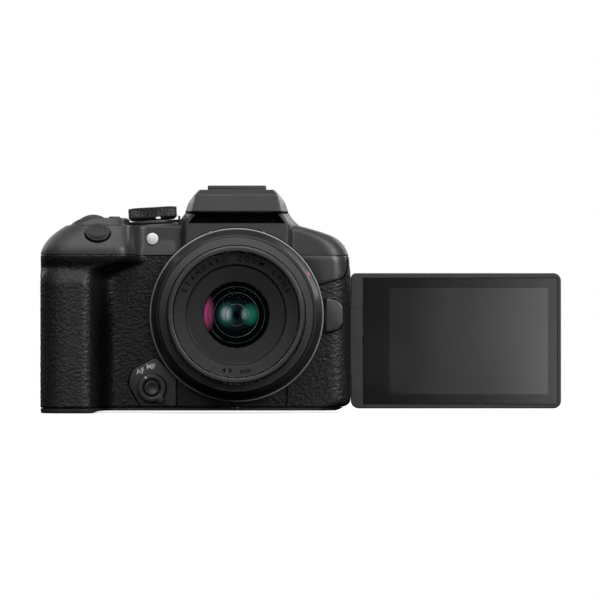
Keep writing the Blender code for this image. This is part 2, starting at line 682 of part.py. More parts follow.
def make_front_controls():
    """Lens release button, focus lever and the button in its middle."""
    release = outline_block("lens_release_button", RELEASE_CORNERS, 0, -21.2, -16.2)
    round_edges(release, 0.6)
    part(release, "black_shell", (38.7, -21.2, AXIS_Z))
    x, z = LEVER_AT
    lever = rod("af_mf_lever", (x, BODY_FRONT - GAP, z), (x, -21.3, z), 5.9, 5.6, 32)
    tab = block("focus_tab", (3.8, -21.3, -1.5), (7.0, BODY_FRONT - GAP, 1.5), 0.4)
    tab.matrix_world = Matrix.Translation(at(x, 0, z)) @ Matrix.Rotation(
        math.radians(53.0), 4, "Y") @ Matrix.Translation(-at(0, 0, 0))
    join(lever, tab)
    cut(lever, rod("lever_bore", (x, -30, z), (x, -10, z), 3.4))
    part(lever, "black_shell", (x, BODY_FRONT, z))
    part(rod("preview_button", (x, -16.4, z), (x, -21.9, z), 3.0, 2.8, 24), "black_shell",
         (x, -21.9, z))


def make_rear_controls():
    """Buttons, cross pad and joystick on the back."""
    for name, (x, z, radius) in {**REAR_BUTTONS, **TOP_REAR_BUTTONS}.items():
        part(rear_rod(name, x, z, radius, 12.4, 17.1, radius - 0.3), "black_shell", (x, 17.1, z))
    x, z, radius = JOYSTICK
    stick = rear_rod("joystick", x, z, 2.0, 12.0, 16.9)
    join(stick, rear_rod("joystick_cap", x, z, radius - 0.6, 16.7, 18.4, radius - 1.0))
    part(stick, "black_rubber", (x, 13.0, z))
    x, z = PAD_AT
    pad = rear_rod("cross_pad", x, z, PAD_R, 13.6, 17.2, PAD_R - 0.5, 32)
    cut(pad, rear_rod("set_bore", x, z, 4.3, 8, 20))
    part(pad, "black_shell", (x, 15.0, z))
    part(rear_rod("set_button", x, z, 4.0, 12.6, 17.6, 3.8), "black_shell", (x, 17.6, z))


# ---------------------------------------------------------------- screen

def screen_outline(inset=0.0):
    """Outline of the screen with the notch that its hinge arm fills."""
    notch = ARM_HALF + 0.35
    corners = ((SCREEN_RIGHT, SCREEN_LOW, 3.0), (SCREEN_RIGHT, SCREEN_HIGH, 3.0),
               (SCREEN_LEFT, SCREEN_HIGH, 3.0), (SCREEN_LEFT, TILT_Z + notch, 0.4),
               (NOTCH_X, TILT_Z + notch, 0.3), (NOTCH_X, TILT_Z - notch, 0.3),
               (SCREEN_LEFT, TILT_Z - notch, 0.4), (SCREEN_LEFT, SCREEN_LOW, 3.0))
    return rounded(inset_corners(corners, inset), 3)


def make_screen():
    """Vari-angle screen: hinge arm, bezel, glass and back."""
    origin = (NOTCH_X, HINGE_Y, TILT_Z)
    stub_hole = (50.0, HINGE_Y, TILT_Z), (53.4, HINGE_Y, TILT_Z)
    middle = (SCREEN_FRONT + SCREEN_BACK) / 2.0
    glass_hole = block("glass_hole", (50.5, 0.0, 2.7), (129.0, 10.5, 53.8))
    frame = plate("screen_frame", screen_outline(), SCREEN_FRONT, middle - GAP / 2, "Y")
    cut(frame, glass_hole, rod("stub_hole_front", *stub_hole, 2.1))
    part(frame, "black_shell", origin)
    back = plate("screen_back", screen_outline(), middle + GAP / 2, SCREEN_BACK, "Y")
    cut(back, rod("stub_hole_back", *stub_hole, 2.1))
    part(back, "black_shell", origin)
    part(block("screen_glass", (50.8, SCREEN_FRONT, 3.0), (128.7, 10.2, 53.5)), "gloss_black",
         origin)
    arm = block("screen_arm", (45.0, SCREEN_FRONT + 0.2, TILT_Z - ARM_HALF),
                (50.3, SCREEN_BACK - 0.2, TILT_Z + ARM_HALF), 1.0)
    join(arm, rod("swing_knuckle", (SWING_X, HINGE_Y, TILT_Z - ARM_HALF),
                  (SWING_X, HINGE_Y, TILT_Z + ARM_HALF), 2.9),
         rod("tilt_stub", (49.0, HINGE_Y, TILT_Z), (53.0, HINGE_Y, TILT_Z), 1.8))
    part(arm, "black_shell", (SWING_X, HINGE_Y, TILT_Z))


# ---------------------------------------------------------------- lens

def disc_profile(radius, front, back, bulge):
    """Half section of a lens element with a domed front."""
    steps = 4
    points = []
    for i in range(steps + 1):
        r = radius * i / steps
        points.append((r, front - bulge * (r / radius) ** 2))
    return (*points, (radius, back), (0.0, back))


def make_lens():
    """Lens mount, fixed barrel, zoom and control rings, sliding inner barrel and glass."""
    ring = ((29.0, FLANGE_T), (29.0, 16.5), (24.5, 16.5), (24.5, FLANGE_T))
    part(turned("mount_ring", ring), "bright_metal")
    bayonet = ((30.0, 21.4), (30.0, 20.3), (24.2, 20.3), (24.2, 15.0), (10.4, 15.0), (10.4, 17.0),
               (22.0, 17.0), (22.0, 21.4))
    part(turned("lens_mount", bayonet), "bright_metal")
    part(turned("rear_element", disc_profile(10.1, 19.2, 15.4, 1.0), 24), "coated_glass")
    barrel = ((28.6, 58.0), (28.6, 33.0), (31.0, 33.0), (34.2, 26.4), (BARREL_R, 25.4),
              (BARREL_R, 21.2), (33.7, 20.3), (30.3, 20.3), (30.3, 21.7), (27.6, 21.7),
              (27.6, 58.0))
    part(turned("lens_barrel", barrel), "black_shell")
    zoom = ((30.4, 50.5), (31.4, 49.4), (31.4, 33.8), (31.0, 33.3), (28.9, 33.3), (28.9, 50.5))
    part(turned("zoom_ring", zoom), "black_rubber")
    control = ((27.3, 60.2), (29.5, 59.6), (30.2, 58.2), (30.2, 51.3), (29.8, 50.8), (28.9, 50.8),
               (28.9, 58.3), (27.3, 58.3))
    part(turned("control_ring", control), "black_shell")
    inner = ((26.3, FRONT_T), (INNER_R, 63.7), (INNER_R, 38.0), (25.3, 38.0), (25.3, 60.2),
             (24.6, 60.6), (24.6, FRONT_T))
    part(turned("inner_barrel", inner), "black_shell")
    front = ((24.3, 62.0), (24.3, 60.8), (20.5, 60.0), (12.9, 54.4), (12.9, 55.6), (18.9, 60.0),
             (19.6, 61.2))
    part(turned("front_bezel", front), "black_shell")
    part(turned("front_element", disc_profile(GLASS_R, 56.4, 50.5, 2.2), 28), "coated_glass")
    part(turned("focus_group", disc_profile(13.0, 42.5, 38.6, 1.4), 24), "coated_glass")


# ---------------------------------------------------------------- inside

def make_inside():
    """Chassis, shutter, sensor, circuit board, battery, card and the sockets behind the covers."""
    chassis = block("chassis", (-45.0, -14.8, 5.0), (37.0, -12.8, 61.0))
    cut(chassis, rod("chassis_throat", (0, -20, AXIS_Z), (0, 0, AXIS_Z), 24.6, steps=40))
    part(chassis, "alloy_frame")
    frame = block("shutter_frame", (-21.0, -9.0, AXIS_Z - 19.0), (21.0, -6.5, AXIS_Z + 19.0))
    cut(frame, block("shutter_gate", (-12.5, -20.0, AXIS_Z - 9.0), (12.5, 0.0, AXIS_Z + 9.0)))
    part(frame, "dark_metal")
    part(block("shutter_curtain", (-12.9, -9.9, AXIS_Z - 27.8), (12.9, -9.3, AXIS_Z - 9.3)),
         "dark_metal")
    part(block("image_sensor", (-14.5, 0.0, AXIS_Z - 10.5), (14.5, 1.8, AXIS_Z + 10.5)),
         "gloss_black")
    part(block("main_board", (-38.0, 3.0, 6.0), (36.0, 4.6, 60.0)), "circuit")
    part(block("battery", (-73.9, -37.5, 2.4), (-59.9, -4.5, 52.0), 1.0), "cell_case")
    part(block("memory_card", (-57.0, -14.4, 2.6), (-54.9, 9.4, 34.6)), "gloss_black")
    ports = block("port_block", (38.6, -7.3, 14.3), (43.8, 3.1, 49.7))
    sockets = ((46.0, 1.8, 1.8), (38.5, 1.8, 1.8), (27.0, 1.3, 3.6), (18.5, 1.5, 3.0))
    for z, half_y, half_z in sockets:
        cut(ports, block("socket", (40.0, -2.0 - half_y, z - half_z),
                         (50.0, -2.0 + half_y, z + half_z)))
    part(ports, "dark_metal")


make_base()
make_skins()
make_front()
make_rear()
make_top()
make_viewfinder()
make_flash()
make_shoe()
make_top_controls()
make_front_controls()
make_rear_controls()
make_screen()
make_lens()
make_inside()
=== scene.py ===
"""Looks of a mirrorless camera with its screen swung out: fine shells, leatherette, lens and glass.

Lengths are in millimetres, with heights above the foot of the grip; at() turns them into the
frame's metres. X is 0 on the optical axis, Y is 0 on the image plane, and the lens points to -Y.
"""
import math

import bmesh
import bpy
import numpy as np
from mathutils import Matrix, Vector


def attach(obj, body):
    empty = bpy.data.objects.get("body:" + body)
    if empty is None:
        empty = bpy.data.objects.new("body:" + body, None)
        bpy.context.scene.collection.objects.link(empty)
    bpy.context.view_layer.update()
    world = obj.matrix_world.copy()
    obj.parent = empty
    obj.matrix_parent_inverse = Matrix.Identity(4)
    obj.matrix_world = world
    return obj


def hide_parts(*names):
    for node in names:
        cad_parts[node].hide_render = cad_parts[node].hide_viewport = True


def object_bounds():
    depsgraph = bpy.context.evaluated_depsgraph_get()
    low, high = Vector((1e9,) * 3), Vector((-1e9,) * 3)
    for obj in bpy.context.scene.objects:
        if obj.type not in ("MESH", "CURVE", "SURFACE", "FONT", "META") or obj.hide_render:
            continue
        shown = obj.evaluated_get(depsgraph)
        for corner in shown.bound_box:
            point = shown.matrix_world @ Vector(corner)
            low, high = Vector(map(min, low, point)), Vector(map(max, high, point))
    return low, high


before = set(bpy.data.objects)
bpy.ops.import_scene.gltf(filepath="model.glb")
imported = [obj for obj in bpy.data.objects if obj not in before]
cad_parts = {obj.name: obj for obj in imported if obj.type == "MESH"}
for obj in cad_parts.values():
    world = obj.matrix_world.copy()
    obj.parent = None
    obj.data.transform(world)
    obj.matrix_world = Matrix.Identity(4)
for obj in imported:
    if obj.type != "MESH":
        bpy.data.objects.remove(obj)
CAD_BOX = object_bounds()

MM = 0.001
GAP = 0.3
WALL = 1.8
SKIN = 1.0
BASE_STEP = 0.7

# Body
BODY_FRONT = -18.5
BODY_REAR = 16.0
DECK_Z = 74.0
RISE_Z = 77.0
SPLIT_Y = 6.0
HUMP_TOP = 88.4
HUMP_REAR = 22.0
FLASH_FRONT = -26.0
FLASH_FOOT = 79.5
FLASH_REAR = -5.6
PLATE_Y = -21.8
RECESS_Y = -19.5
HUMP_SPLIT = -5.0
HUMP_FACE = 20.3
HUMP_CHEEK = 11.0
EYE_Z = 71.5
SHELL_LOW = 2.1
SHELL_HIGH = 62.4
SEAM_X = 20.0
STEP_X = -54.2

# Lens
AXIS_Z = 38.6
BARREL_R = 34.5
INNER_R = 26.9
FRONT_T = 64.3
GLASS_R = 12.6
RING_BORE = 28.9
ZOOM_R = 31.4
CONTROL_R = 30.2
NAME_R = 22.1
NAME_Y = -61.66
NAME_SLOPE = math.atan2(0.7, 4.6)
INDEX_R = 32.7
INDEX_ANGLE = math.radians(29.7)

# Screen
SWING_X = 45.0
HINGE_Y = 12.5
TILT_Z = 28.35
SCREEN_LEFT = 45.8
SCREEN_RIGHT = 130.3
SCREEN_LOW = 1.1
SCREEN_HIGH = 55.6
SCREEN_FRONT = 9.5
SCREEN_BACK = 15.5
ARM_HALF = 13.5
ARM_SPACE = 50.5
RECESS = ((-40.8, 9.2, 0.5), (46.5, 20.0, 56.0))

# Controls
SHUTTER_AT = (-54.5, -42.0, 70.6)
SHUTTER_TILT = math.radians(44.0)
MODE_AT = (-33.4, -6.0, 75.1)
MODE_TILT = math.radians(3.5)
MODE_UP = (-math.sin(MODE_TILT), 0.0, math.cos(MODE_TILT))
MODE_R = 9.8
COLLAR_R = 10.9
MAIN_DIAL_AT = (-56.5, -30.0, 69.9)
MAIN_DIAL_R = 8.4
QUICK_AT = (-57.5, 6.5)
QUICK_R = 7.8
LEVER_AT = (-33.6, 9.7)
LEVER_BORE = 3.4
PAD_AT = (-58.0, 27.0)
PAD_R = 9.3
LAMP_AT = (-33.5, 68.9)
JOYSTICK = (-50.5, 53.5, 3.6)
REAR_BUTTONS = {
    "info_button": (-47.5, 41.0, 2.5),
    "play_button": (-58.0, 11.0, 2.5),
}
TOP_REAR_BUTTONS = {
    "af_on_button": (-50.5, 67.5, 3.0),
    "menu_button": (34.0, 67.0, 2.8),
}
TOP_BUTTONS = {"m_fn_button": (-48.4, -22.5, 2.3), "movie_button": (-46.6, 8.0, 2.5)}
LUGS = {"strap_lug_left": (-74.4, -8.0, 67.6), "strap_lug_right": (42.2, -2.0, 66.0)}
PORTS = {"port_cover_upper": (33.5, 51.0), "port_cover_lower": (13.0, 32.5)}
PORT_Y = (-8.6, 4.4)
TRIPOD_Y = -9.0

# Turns relief that was drawn flat so that it faces the front
FACE_FRONT = Matrix.Rotation(math.pi / 2.0, 4, "X")

# Stations of the body's outline, (height, value)
LEFT_EDGE = ((0.0, -76.8), (1.0, -77.3), (63.8, -77.3), (68.5, -74.6), (71.5, -71.4), (74.0, -67.5))
RIGHT_EDGE = ((0.0, 37.2), (1.1, 41.2), (2.4, 44.2), (3.8, 45.4), (55.0, 45.4), (62.2, 44.7),
              (65.7, 43.3), (68.9, 40.7), (70.9, 36.9), (72.3, 32.0), (74.0, 26.0))
NOSE_EDGE = ((0.0, -46.2), (1.0, -47.0), (52.0, -47.0), (57.0, -44.9), (60.5, -47.0),
             (65.8, -47.0), (70.6, -42.0), (74.0, -38.5))
LOBE_EDGE = ((0.0, -56.5), (54.0, -56.5), (57.0, -52.5), (58.8, -43.5), (60.5, -41.5),
             (63.0, -41.5), (74.0, -43.0))
HOLLOW_EDGE = ((0.0, -52.0), (54.0, -52.0), (57.0, -48.0), (58.8, -40.5), (60.5, -39.5),
               (74.0, -39.5))
HUMP_EDGE = ((72.0, 26.8), (74.0, 25.1), (76.0, 22.7), (78.4, 20.9), (80.8, 19.8), (83.3, 19.1),
             (87.0, 16.3), (88.4, 14.8))
NECK_FACE = ((74.5, HUMP_FACE), (76.0, 19.8), (79.2, 17.9))
RISE_EDGE = ((73.0, -66.6), (75.2, -64.8), (76.5, -62.2), (77.0, -61.0))

# Outlines, as (x, z, corner radius), and (x, y, corner radius) for the door
DOOR_CORNERS = ((-75.2, 9.8, 2.5), (-75.2, -41.0, 7.0), (-59.2, -41.0, 3.0), (-59.2, -15.4, 1.5),
                (-53.0, -15.4, 1.5), (-53.0, 9.8, 2.5))
BADGE_CORNERS = ((22.0, 62.3, 0.5), (31.0, 50.4, 0.5), (42.4, 53.6, 3.0), (43.7, 57.0, 2.0),
                 (43.7, 62.3, 1.0))
SWITCH_CORNERS = ((-24.0, 2.4, 0.8), (-24.0, 14.0, 3.0), (-32.0, 22.0, 2.0), (-41.6, 16.9, 4.0),
                  (-43.2, 11.2, 6.0), (-38.0, 2.4, 1.5))
RELEASE_CORNERS = ((35.2, 31.6, 0.8), (40.0, 32.6, 1.5), (42.2, 35.0, 2.0), (42.2, 41.8, 2.0),
                   (40.0, 44.4, 1.5), (35.2, 45.4, 0.8))

# Fineness
ARC_STEPS = 8
TURN_STEPS = 224
VOXEL = 0.4
LEATHER_STEP = 0.4
LEATHER_POINTS = int(330 / LEATHER_STEP)
DIAL_STEPS = 360
KNURL_STEPS = 640
KNURL_LAYERS = 36
ZOOM_STEPS = 1080
CONTROL_STEPS = 960

# Leather grain
GRAIN_DEPTH = 0.22
GRAIN_SIZE = 0.85
CELL_MIX = np.array(((12.99, 39.35, 73.16), (78.23, 11.14, 52.24), (37.72, 83.16, 9.15)))
CELL_SCALE = 4375.85

# View
LENS_LENGTH = 332.9
EYE_AT = (12.4, -2222.0, 32.7)
LOOK_AT = (25.1, -22.0, 44.6)

# Studio, in metres and watts
ROOM_LOW = 0.0
ROOM_HIGH = 0.22
FLOOR_R = 0.40
MIDDLE = (0.03, 0.0, 0.04)
LIGHTS = (
    # name, place, width, height, power
    ("overhead", (0.0, -0.20, 1.3), 1.5, 1.0, 11.5),
    ("front", (0.15, -2.2, 0.95), 2.2, 1.0, 13.5),
    ("upper_front", (-0.1, -1.7, 1.75), 1.0, 0.5, 9.0),
    ("key_right", (1.2, -1.1, 0.7), 0.4, 0.7, 21.0),
    ("key_left", (-1.1, -1.4, 1.0), 0.3, 0.5, 6.0),
    ("behind_right", (0.9, 1.1, 0.6), 0.6, 0.6, 5.0),
    ("behind_left", (-0.9, 1.1, 0.6), 0.6, 0.6, 3.0),
    ("behind", (0.0, 2.0, 0.55), 1.8, 0.8, 9.0),
)


def at(*point):
    """A point in the frame, in metres, from millimetres above the foot of the grip."""
    x, y, z = point
    return Vector((x, y, z - BASE_STEP)) * MM


def level(stations, z):
    """Straight-line reading of (height, value) stations."""
    heights = [s[0] for s in stations]
    values = [s[1] for s in stations]
    return float(np.interp(z, heights, values))


def soft_level(stations, z, spread=1.6):
    """Stations read with their corners rounded off over a spread of heights."""
    low, high = stations[0][0], stations[-1][0]
    reach = min(spread, z - low, high - z) if low < z < high else 0.0
    return sum(level(stations, z + reach * k / 3.0) for k in range(-3, 4)) / 7.0


# ---------------------------------------------------------------- studio

def add(name, data):
    """A new object in the scene."""
    made = bpy.data.objects.new(name, data)
    bpy.context.scene.collection.objects.link(made)
    return made


def feed(tree, socket, value):
    """Link a socket from another one, or set it to a number or a colour."""
    if isinstance(value, bpy.types.NodeSocket):
        tree.links.new(value, socket)
    else:
        socket.default_value = value


def add_node(tree, kind, inputs, **settings):
    """A new node with its settings made and its inputs fed."""
    made = tree.nodes.new(kind)
    for name, choice in settings.items():
        setattr(made, name, choice)
    for name, value in inputs.items():
        feed(tree, made.inputs[name], value)
    return made


def look_at(thing, target):
    """Turn a camera or light to face a point."""
    thing.rotation_mode = "QUATERNION"
    thing.rotation_quaternion = (Vector(target) - thing.location).to_track_quat("-Z", "Y")


def make_camera():
    """A long lens in front of the camera, a little right of the optical axis."""
    view = bpy.data.cameras.new("view")
    view.lens = LENS_LENGTH
    view.sensor_width = 36.0
    view.clip_end = 30.0
    eye = add("view", view)
    eye.location = at(*EYE_AT)
    look_at(eye, at(*LOOK_AT))
    bpy.context.scene.camera = eye


def area_light(name, place, width, height, power, target=MIDDLE):
    """A soft rectangular light."""
    lamp = bpy.data.lights.new(name, "AREA")
    lamp.shape = "RECTANGLE"
    lamp.size = width
    lamp.size_y = height
    lamp.energy = power
    thing = add(name, lamp)
    thing.location = place
    look_at(thing, target)


def make_world():
    """White backdrop for the eye, and a soft room, brighter above, for light and reflections."""
    world = bpy.data.worlds.new("studio")
    bpy.context.scene.world = world
    world.use_nodes = True
    tree = world.node_tree
    backdrop = tree.nodes["Background"]
    backdrop.inputs["Color"].default_value = (1.0, 1.0, 1.0, 1.0)
    way = add_node(tree, "ShaderNodeTexCoord", {})
    parts = add_node(tree, "ShaderNodeSeparateXYZ", {0: way.outputs["Generated"]})
    climb = add_node(tree, "ShaderNodeMapRange",
                     {"Value": parts.outputs["Z"], "From Min": -0.25, "From Max": 0.25,
                      "To Min": ROOM_LOW, "To Max": ROOM_HIGH}, interpolation_type="SMOOTHSTEP")
    room = add_node(tree, "ShaderNodeBackground",
                    {"Color": (0.96, 0.98, 1.0, 1.0), "Strength": climb.outputs["Result"]})
    path = add_node(tree, "ShaderNodeLightPath", {})
    mix = add_node(tree, "ShaderNodeMixShader",
                   {0: path.outputs["Is Camera Ray"], 1: room.outputs[0], 2: backdrop.outputs[0]})
    feed(tree, tree.nodes["World Output"].inputs["Surface"], mix.outputs[0])


def make_floor():
    """Pale floor that fades into the white backdrop away from the camera."""
    shape = bmesh.new()
    bmesh.ops.create_circle(shape, cap_ends=True, segments=96, radius=FLOOR_R)
    floor = mesh_object("floor", shape)
    floor.location = (0.02, 0.0, CAD_BOX[0].z - 0.0002)
    made = Surface("pale_floor", (0.45, 0.45, 0.45), 0.9)
    made.set("Emission Color", (1.0, 1.0, 1.0, 1.0))
    made.set("Emission Strength", 0.72)
    made.set("Alpha", made.spread(made.length(made.place), 1.0, 0.0, FLOOR_R * 0.45, FLOOR_R * 0.97))
    floor.data.materials.append(made.made)
    floor.visible_glossy = False
    floor.visible_diffuse = False


def make_studio():
    """Room, floor and soft lights, with a strip beside the view for the screen's sheen."""
    bpy.context.scene.view_settings.view_transform = "Standard"
    make_world()
    make_floor()
    for light in LIGHTS:
        area_light(*light)
    area_light("screen_sheen", (0.34, -2.3, 0.03), 0.12, 0.30, 1.5, (0.09, 0.0, 0.03))


# ---------------------------------------------------------------- materials

class Surface:
    """Node helper for one procedural material in object space."""

    def __init__(self, name, colour, roughness, metallic=0.0):
        """A new material of one colour and roughness."""
        self.made = bpy.data.materials.new(name)
        self.made.use_nodes = True
        self.tree = self.made.node_tree
        self.shader = self.tree.nodes["Principled BSDF"]
        self.set("Base Color", (*colour, 1.0))
        self.set("Roughness", roughness)
        self.set("Metallic", metallic)
        self.place = self.node("ShaderNodeTexCoord", {}).outputs["Object"]
        self.normal = None

    def node(self, kind, inputs, **settings):
        """A new node of this material."""
        return add_node(self.tree, kind, inputs, **settings)

    def set(self, name, value):
        """Set a socket of the shader to a number or colour, or link it."""
        feed(self.tree, self.shader.inputs[name], value)

    def noise(self, size_mm, detail=3.0, rough=0.55):
        """Noise with features of a size."""
        return self.node("ShaderNodeTexNoise",
                         {"Scale": 1.0 / (size_mm * MM), "Detail": detail, "Roughness": rough,
                          "Vector": self.place}).outputs["Fac"]

    def cells(self, size_mm):
        """Voronoi cells of a size, with soft borders."""
        return self.node("ShaderNodeTexVoronoi",
                         {"Scale": 1.0 / (size_mm * MM), "Vector": self.place},
                         feature="SMOOTH_F1").outputs["Distance"]

    def length(self, source):
        """Length of a vector."""
        return self.node("ShaderNodeVectorMath", {0: source}, operation="LENGTH").outputs["Value"]

    def spread(self, source, low, high, start=0.3, end=0.7):
        """Map a source to a range of numbers."""
        return self.node("ShaderNodeMapRange",
                         {"From Min": start, "From Max": end, "To Min": low, "To Max": high,
                          "Value": source}).outputs["Result"]

    def blend(self, first, second, share):
        """Mix two colours."""
        return self.node("ShaderNodeMix", {"A": first, "B": second, "Factor": share},
                         data_type="RGBA").outputs["Result"]

    def roughness(self, source, low, high):
        """Vary the roughness with a source."""
        self.set("Roughness", self.spread(source, low, high))

    def tint(self, source, first, second):
        """Vary the base colour with a source."""
        self.set("Base Color", self.blend((*first, 1.0), (*second, 1.0),
                                          self.spread(source, 0.0, 1.0)))

    def bump(self, source, height_mm, strength=1.0):
        """Add a layer of relief."""
        inputs = {"Strength": strength, "Distance": height_mm * MM, "Height": source}
        if self.normal:
            inputs["Normal"] = self.normal
        self.normal = self.node("ShaderNodeBump", inputs).outputs["Normal"]
        self.set("Normal", self.normal)


def shell_plastic(name="shell_plastic", colour=(0.017, 0.017, 0.019), roughness=(0.40, 0.52)):
    """Fine spark-eroded black moulding."""
    made = Surface(name, colour, roughness[0])
    made.set("Specular IOR Level", 0.5)
    made.roughness(made.noise(9.0), *roughness)
    made.tint(made.noise(14.0), [c * 0.85 for c in colour], [c * 1.2 for c in colour])
    made.bump(made.noise(0.34, 2.0), 0.020, 0.5)
    return made.made


def leatherette():
    """Black leatherette, with a fine grain over its modelled pebbles."""
    made = Surface("leatherette", (0.006, 0.006, 0.007), 0.5)
    made.set("Specular IOR Level", 0.33)
    made.roughness(made.noise(1.6, 4.0), 0.34, 0.52)
    made.tint(made.noise(1.1, 4.0), (0.002, 0.002, 0.003), (0.009, 0.009, 0.010))
    made.bump(made.noise(0.9, 4.0, 0.65), 0.12, 0.8)
    made.bump(made.cells(0.6), 0.08, 0.7)
    return made.made


def rubber():
    """Matt black rubber."""
    made = Surface("rubber", (0.012, 0.012, 0.013), 0.7)
    made.set("Specular IOR Level", 0.4)
    made.roughness(made.noise(3.0), 0.58, 0.78)
    made.bump(made.noise(0.25, 2.0), 0.015, 0.4)
    return made.made


def satin_ring():
    """Smooth satin black of the lens rings, wheels and buttons."""
    made = Surface("satin_ring", (0.016, 0.016, 0.017), 0.34)
    made.roughness(made.noise(6.0), 0.30, 0.40)
    made.bump(made.noise(0.2, 2.0), 0.008, 0.3)
    return made.made


def bezel_black():
    """Satin black of the front bezel and its grooves."""
    made = Surface("lens_black", (0.003, 0.003, 0.0034), 0.5)
    made.set("Specular IOR Level", 0.38)
    made.roughness(made.noise(2.0), 0.42, 0.6)
    return made.made


def dark_cap():
    """Smooth semi-gloss black of the shutter button."""
    made = Surface("dark_cap", (0.006, 0.006, 0.007), 0.3)
    made.set("Specular IOR Level", 0.22)
    made.roughness(made.noise(6.0), 0.27, 0.33)
    return made.made


def ink(name, colour):
    """Dead matt dark filling or coating, also used for black sheets of painted shade."""
    made = Surface(name, colour, 0.8)
    made.set("Specular IOR Level", 0.03)
    made.tint(made.noise(2.0), [c * 0.8 for c in colour], [c * 1.2 for c in colour])
    return made.made


def metal(name, colour, low, high):
    """Plated or coated metal with a faint grain."""
    made = Surface(name, colour, low, 1.0)
    made.roughness(made.noise(1.5), low, high)
    made.bump(made.noise(0.3, 2.0), 0.006, 0.3)
    return made.made


def paint(name, colour, roughness=0.45):
    """Plain paint or coloured plastic."""
    made = Surface(name, colour, roughness)
    made.roughness(made.noise(0.8), roughness - 0.06, roughness + 0.08)
    return made.made


def lens_glass():
    """Clear front element."""
    made = Surface("lens_glass", (0.9, 0.93, 0.92), 0.0)
    made.set("Specular IOR Level", 0.0)
    made.set("IOR", 1.04)
    made.set("Transmission Weight", 1.0)
    return made.made


# Painted reflections on the element deep in the lens: a broad dark teal patch, teal and white glints,
# and a dark middle.
PAINTED_REFLECTION_SPOTS = (
    # x, height above the axis, half width, half height, colour
    (-0.6, 0.0, 8.0, 7.0, (0.020, 0.034, 0.038)),
    (-3.4, 0.2, 4.4, 5.0, (0.03, 0.26, 0.22)),
    (5.4, 0.2, 3.9, 4.8, (0.03, 0.30, 0.20)),
    (-3.8, 0.5, 2.6, 3.2, (0.66, 0.74, 0.80)),
    (3.4, 0.4, 1.9, 2.4, (0.34, 0.46, 0.50)),
    (-0.1, 0.1, 3.0, 4.0, (0.001, 0.002, 0.006)),
)
# Painted magenta reflection, glowing on the seat round the front glass.
PAINTED_MAGENTA_SPOTS = ((-11.6, 0.8, 3.4, 8.0, (0.62, 0.10, 0.28)),)


def painted_reflection(name, base, spots):
    """Painted reflections deep in the lens: a glowing surface with painted coloured glints over a dark
    base.
    """
    made = Surface(name, (0.0, 0.0, 0.0), 0.5)
    made.set("Specular IOR Level", 0.0)
    colour = (*base, 1.0)
    for x, up, half_x, half_z, tone in spots:
        shift = made.node("ShaderNodeVectorMath", {0: made.place, 1: at(x, 0.0, AXIS_Z + up)},
                          operation="SUBTRACT")
        squeeze = made.node("ShaderNodeVectorMath",
                            {0: shift.outputs[0],
                             1: (1.0 / (half_x * MM), 0.0, 1.0 / (half_z * MM))},
                            operation="MULTIPLY")
        share = made.spread(made.length(squeeze.outputs[0]), 1.0, 0.0, 0.25, 1.0)
        colour = made.blend(colour, (*tone, 1.0), share)
    # the painted reflections glow, though nothing here is a lamp
    made.set("Emission Color", colour)
    made.set("Emission Strength", 0.38)
    return made.made


def clear_plate(name, colour, roughness, coat=0.3, shine=0.5):
    """A polished panel of glass or plastic."""
    made = Surface(name, colour, roughness)
    made.set("Specular IOR Level", shine)
    made.roughness(made.noise(25.0), roughness * 0.9, roughness * 1.15)
    made.set("Coat Weight", coat)
    made.set("Coat Roughness", 0.04)
    return made.made


# ---------------------------------------------------------------- shapes

def mesh_object(name, shape):
    """An object for a bmesh, with its faces pointing out."""
    bmesh.ops.recalc_face_normals(shape, faces=shape.faces)
    mesh = bpy.data.meshes.new(name)
    shape.to_mesh(mesh)
    shape.free()
    return add(name, mesh)


def settled(target):
    """The shape of a piece with its modifiers applied, in the frame's coordinates."""
    bpy.context.view_layer.update()
    seen = target.evaluated_get(bpy.context.evaluated_depsgraph_get())
    mesh = bpy.data.meshes.new_from_object(seen)
    mesh.transform(target.matrix_world)
    return mesh


def freeze(target):
    """Apply every modifier of a piece and move its shape into the frame's coordinates."""
    mesh = settled(target)
    target.modifiers.clear()
    target.data = mesh
    target.matrix_world = Matrix.Identity(4)
    return target


def round_edges(target, width, segments, angle=50.0):
    """Bevel the edges sharper than an angle."""
    bevel = target.modifiers.new("edges", "BEVEL")
    bevel.width = width * MM
    bevel.segments = segments
    bevel.limit_method = "ANGLE"
    bevel.angle_limit = math.radians(angle)
    return freeze(target)


def boolean(target, operation, others):
    """Join or cut with other shapes, apply the result, and drop them."""
    for other in others:
        step = target.modifiers.new(operation.lower(), "BOOLEAN")
        step.operation = operation
        step.solver = "EXACT"
        step.object = other
    freeze(target)
    for other in others:
        bpy.data.objects.remove(other, do_unlink=True)
    return target


def cut(target, *others):
    """Cut the others from the target."""
    return boolean(target, "DIFFERENCE", others)


def join(target, *others):
    """Unite the others with the target."""
    return boolean(target, "UNION", others)


def keep(target, region):
    """Keep what lies inside a region."""
    return boolean(target, "INTERSECT", (region,))


def block(name, low, high, bevel=0.0, segments=3):
    """A box between two corners, with rounded edges."""
    low = at(*low)
    high = at(*high)
    shape = bmesh.new()
    bmesh.ops.create_cube(shape, size=1.0)
    bmesh.ops.scale(shape, vec=high - low, verts=shape.verts)
    bmesh.ops.translate(shape, vec=(high + low) / 2.0, verts=shape.verts)
    made = mesh_object(name, shape)
    return round_edges(made, bevel, segments, 35.0) if bevel else made


def beyond(name, x=(-90.0, 60.0), y=(-60.0, 60.0), z=(-5.0, 70.0)):
    """A block that is larger than the body wherever no limits are given."""
    return block(name, (x[0], y[0], z[0]), (x[1], y[1], z[1]))


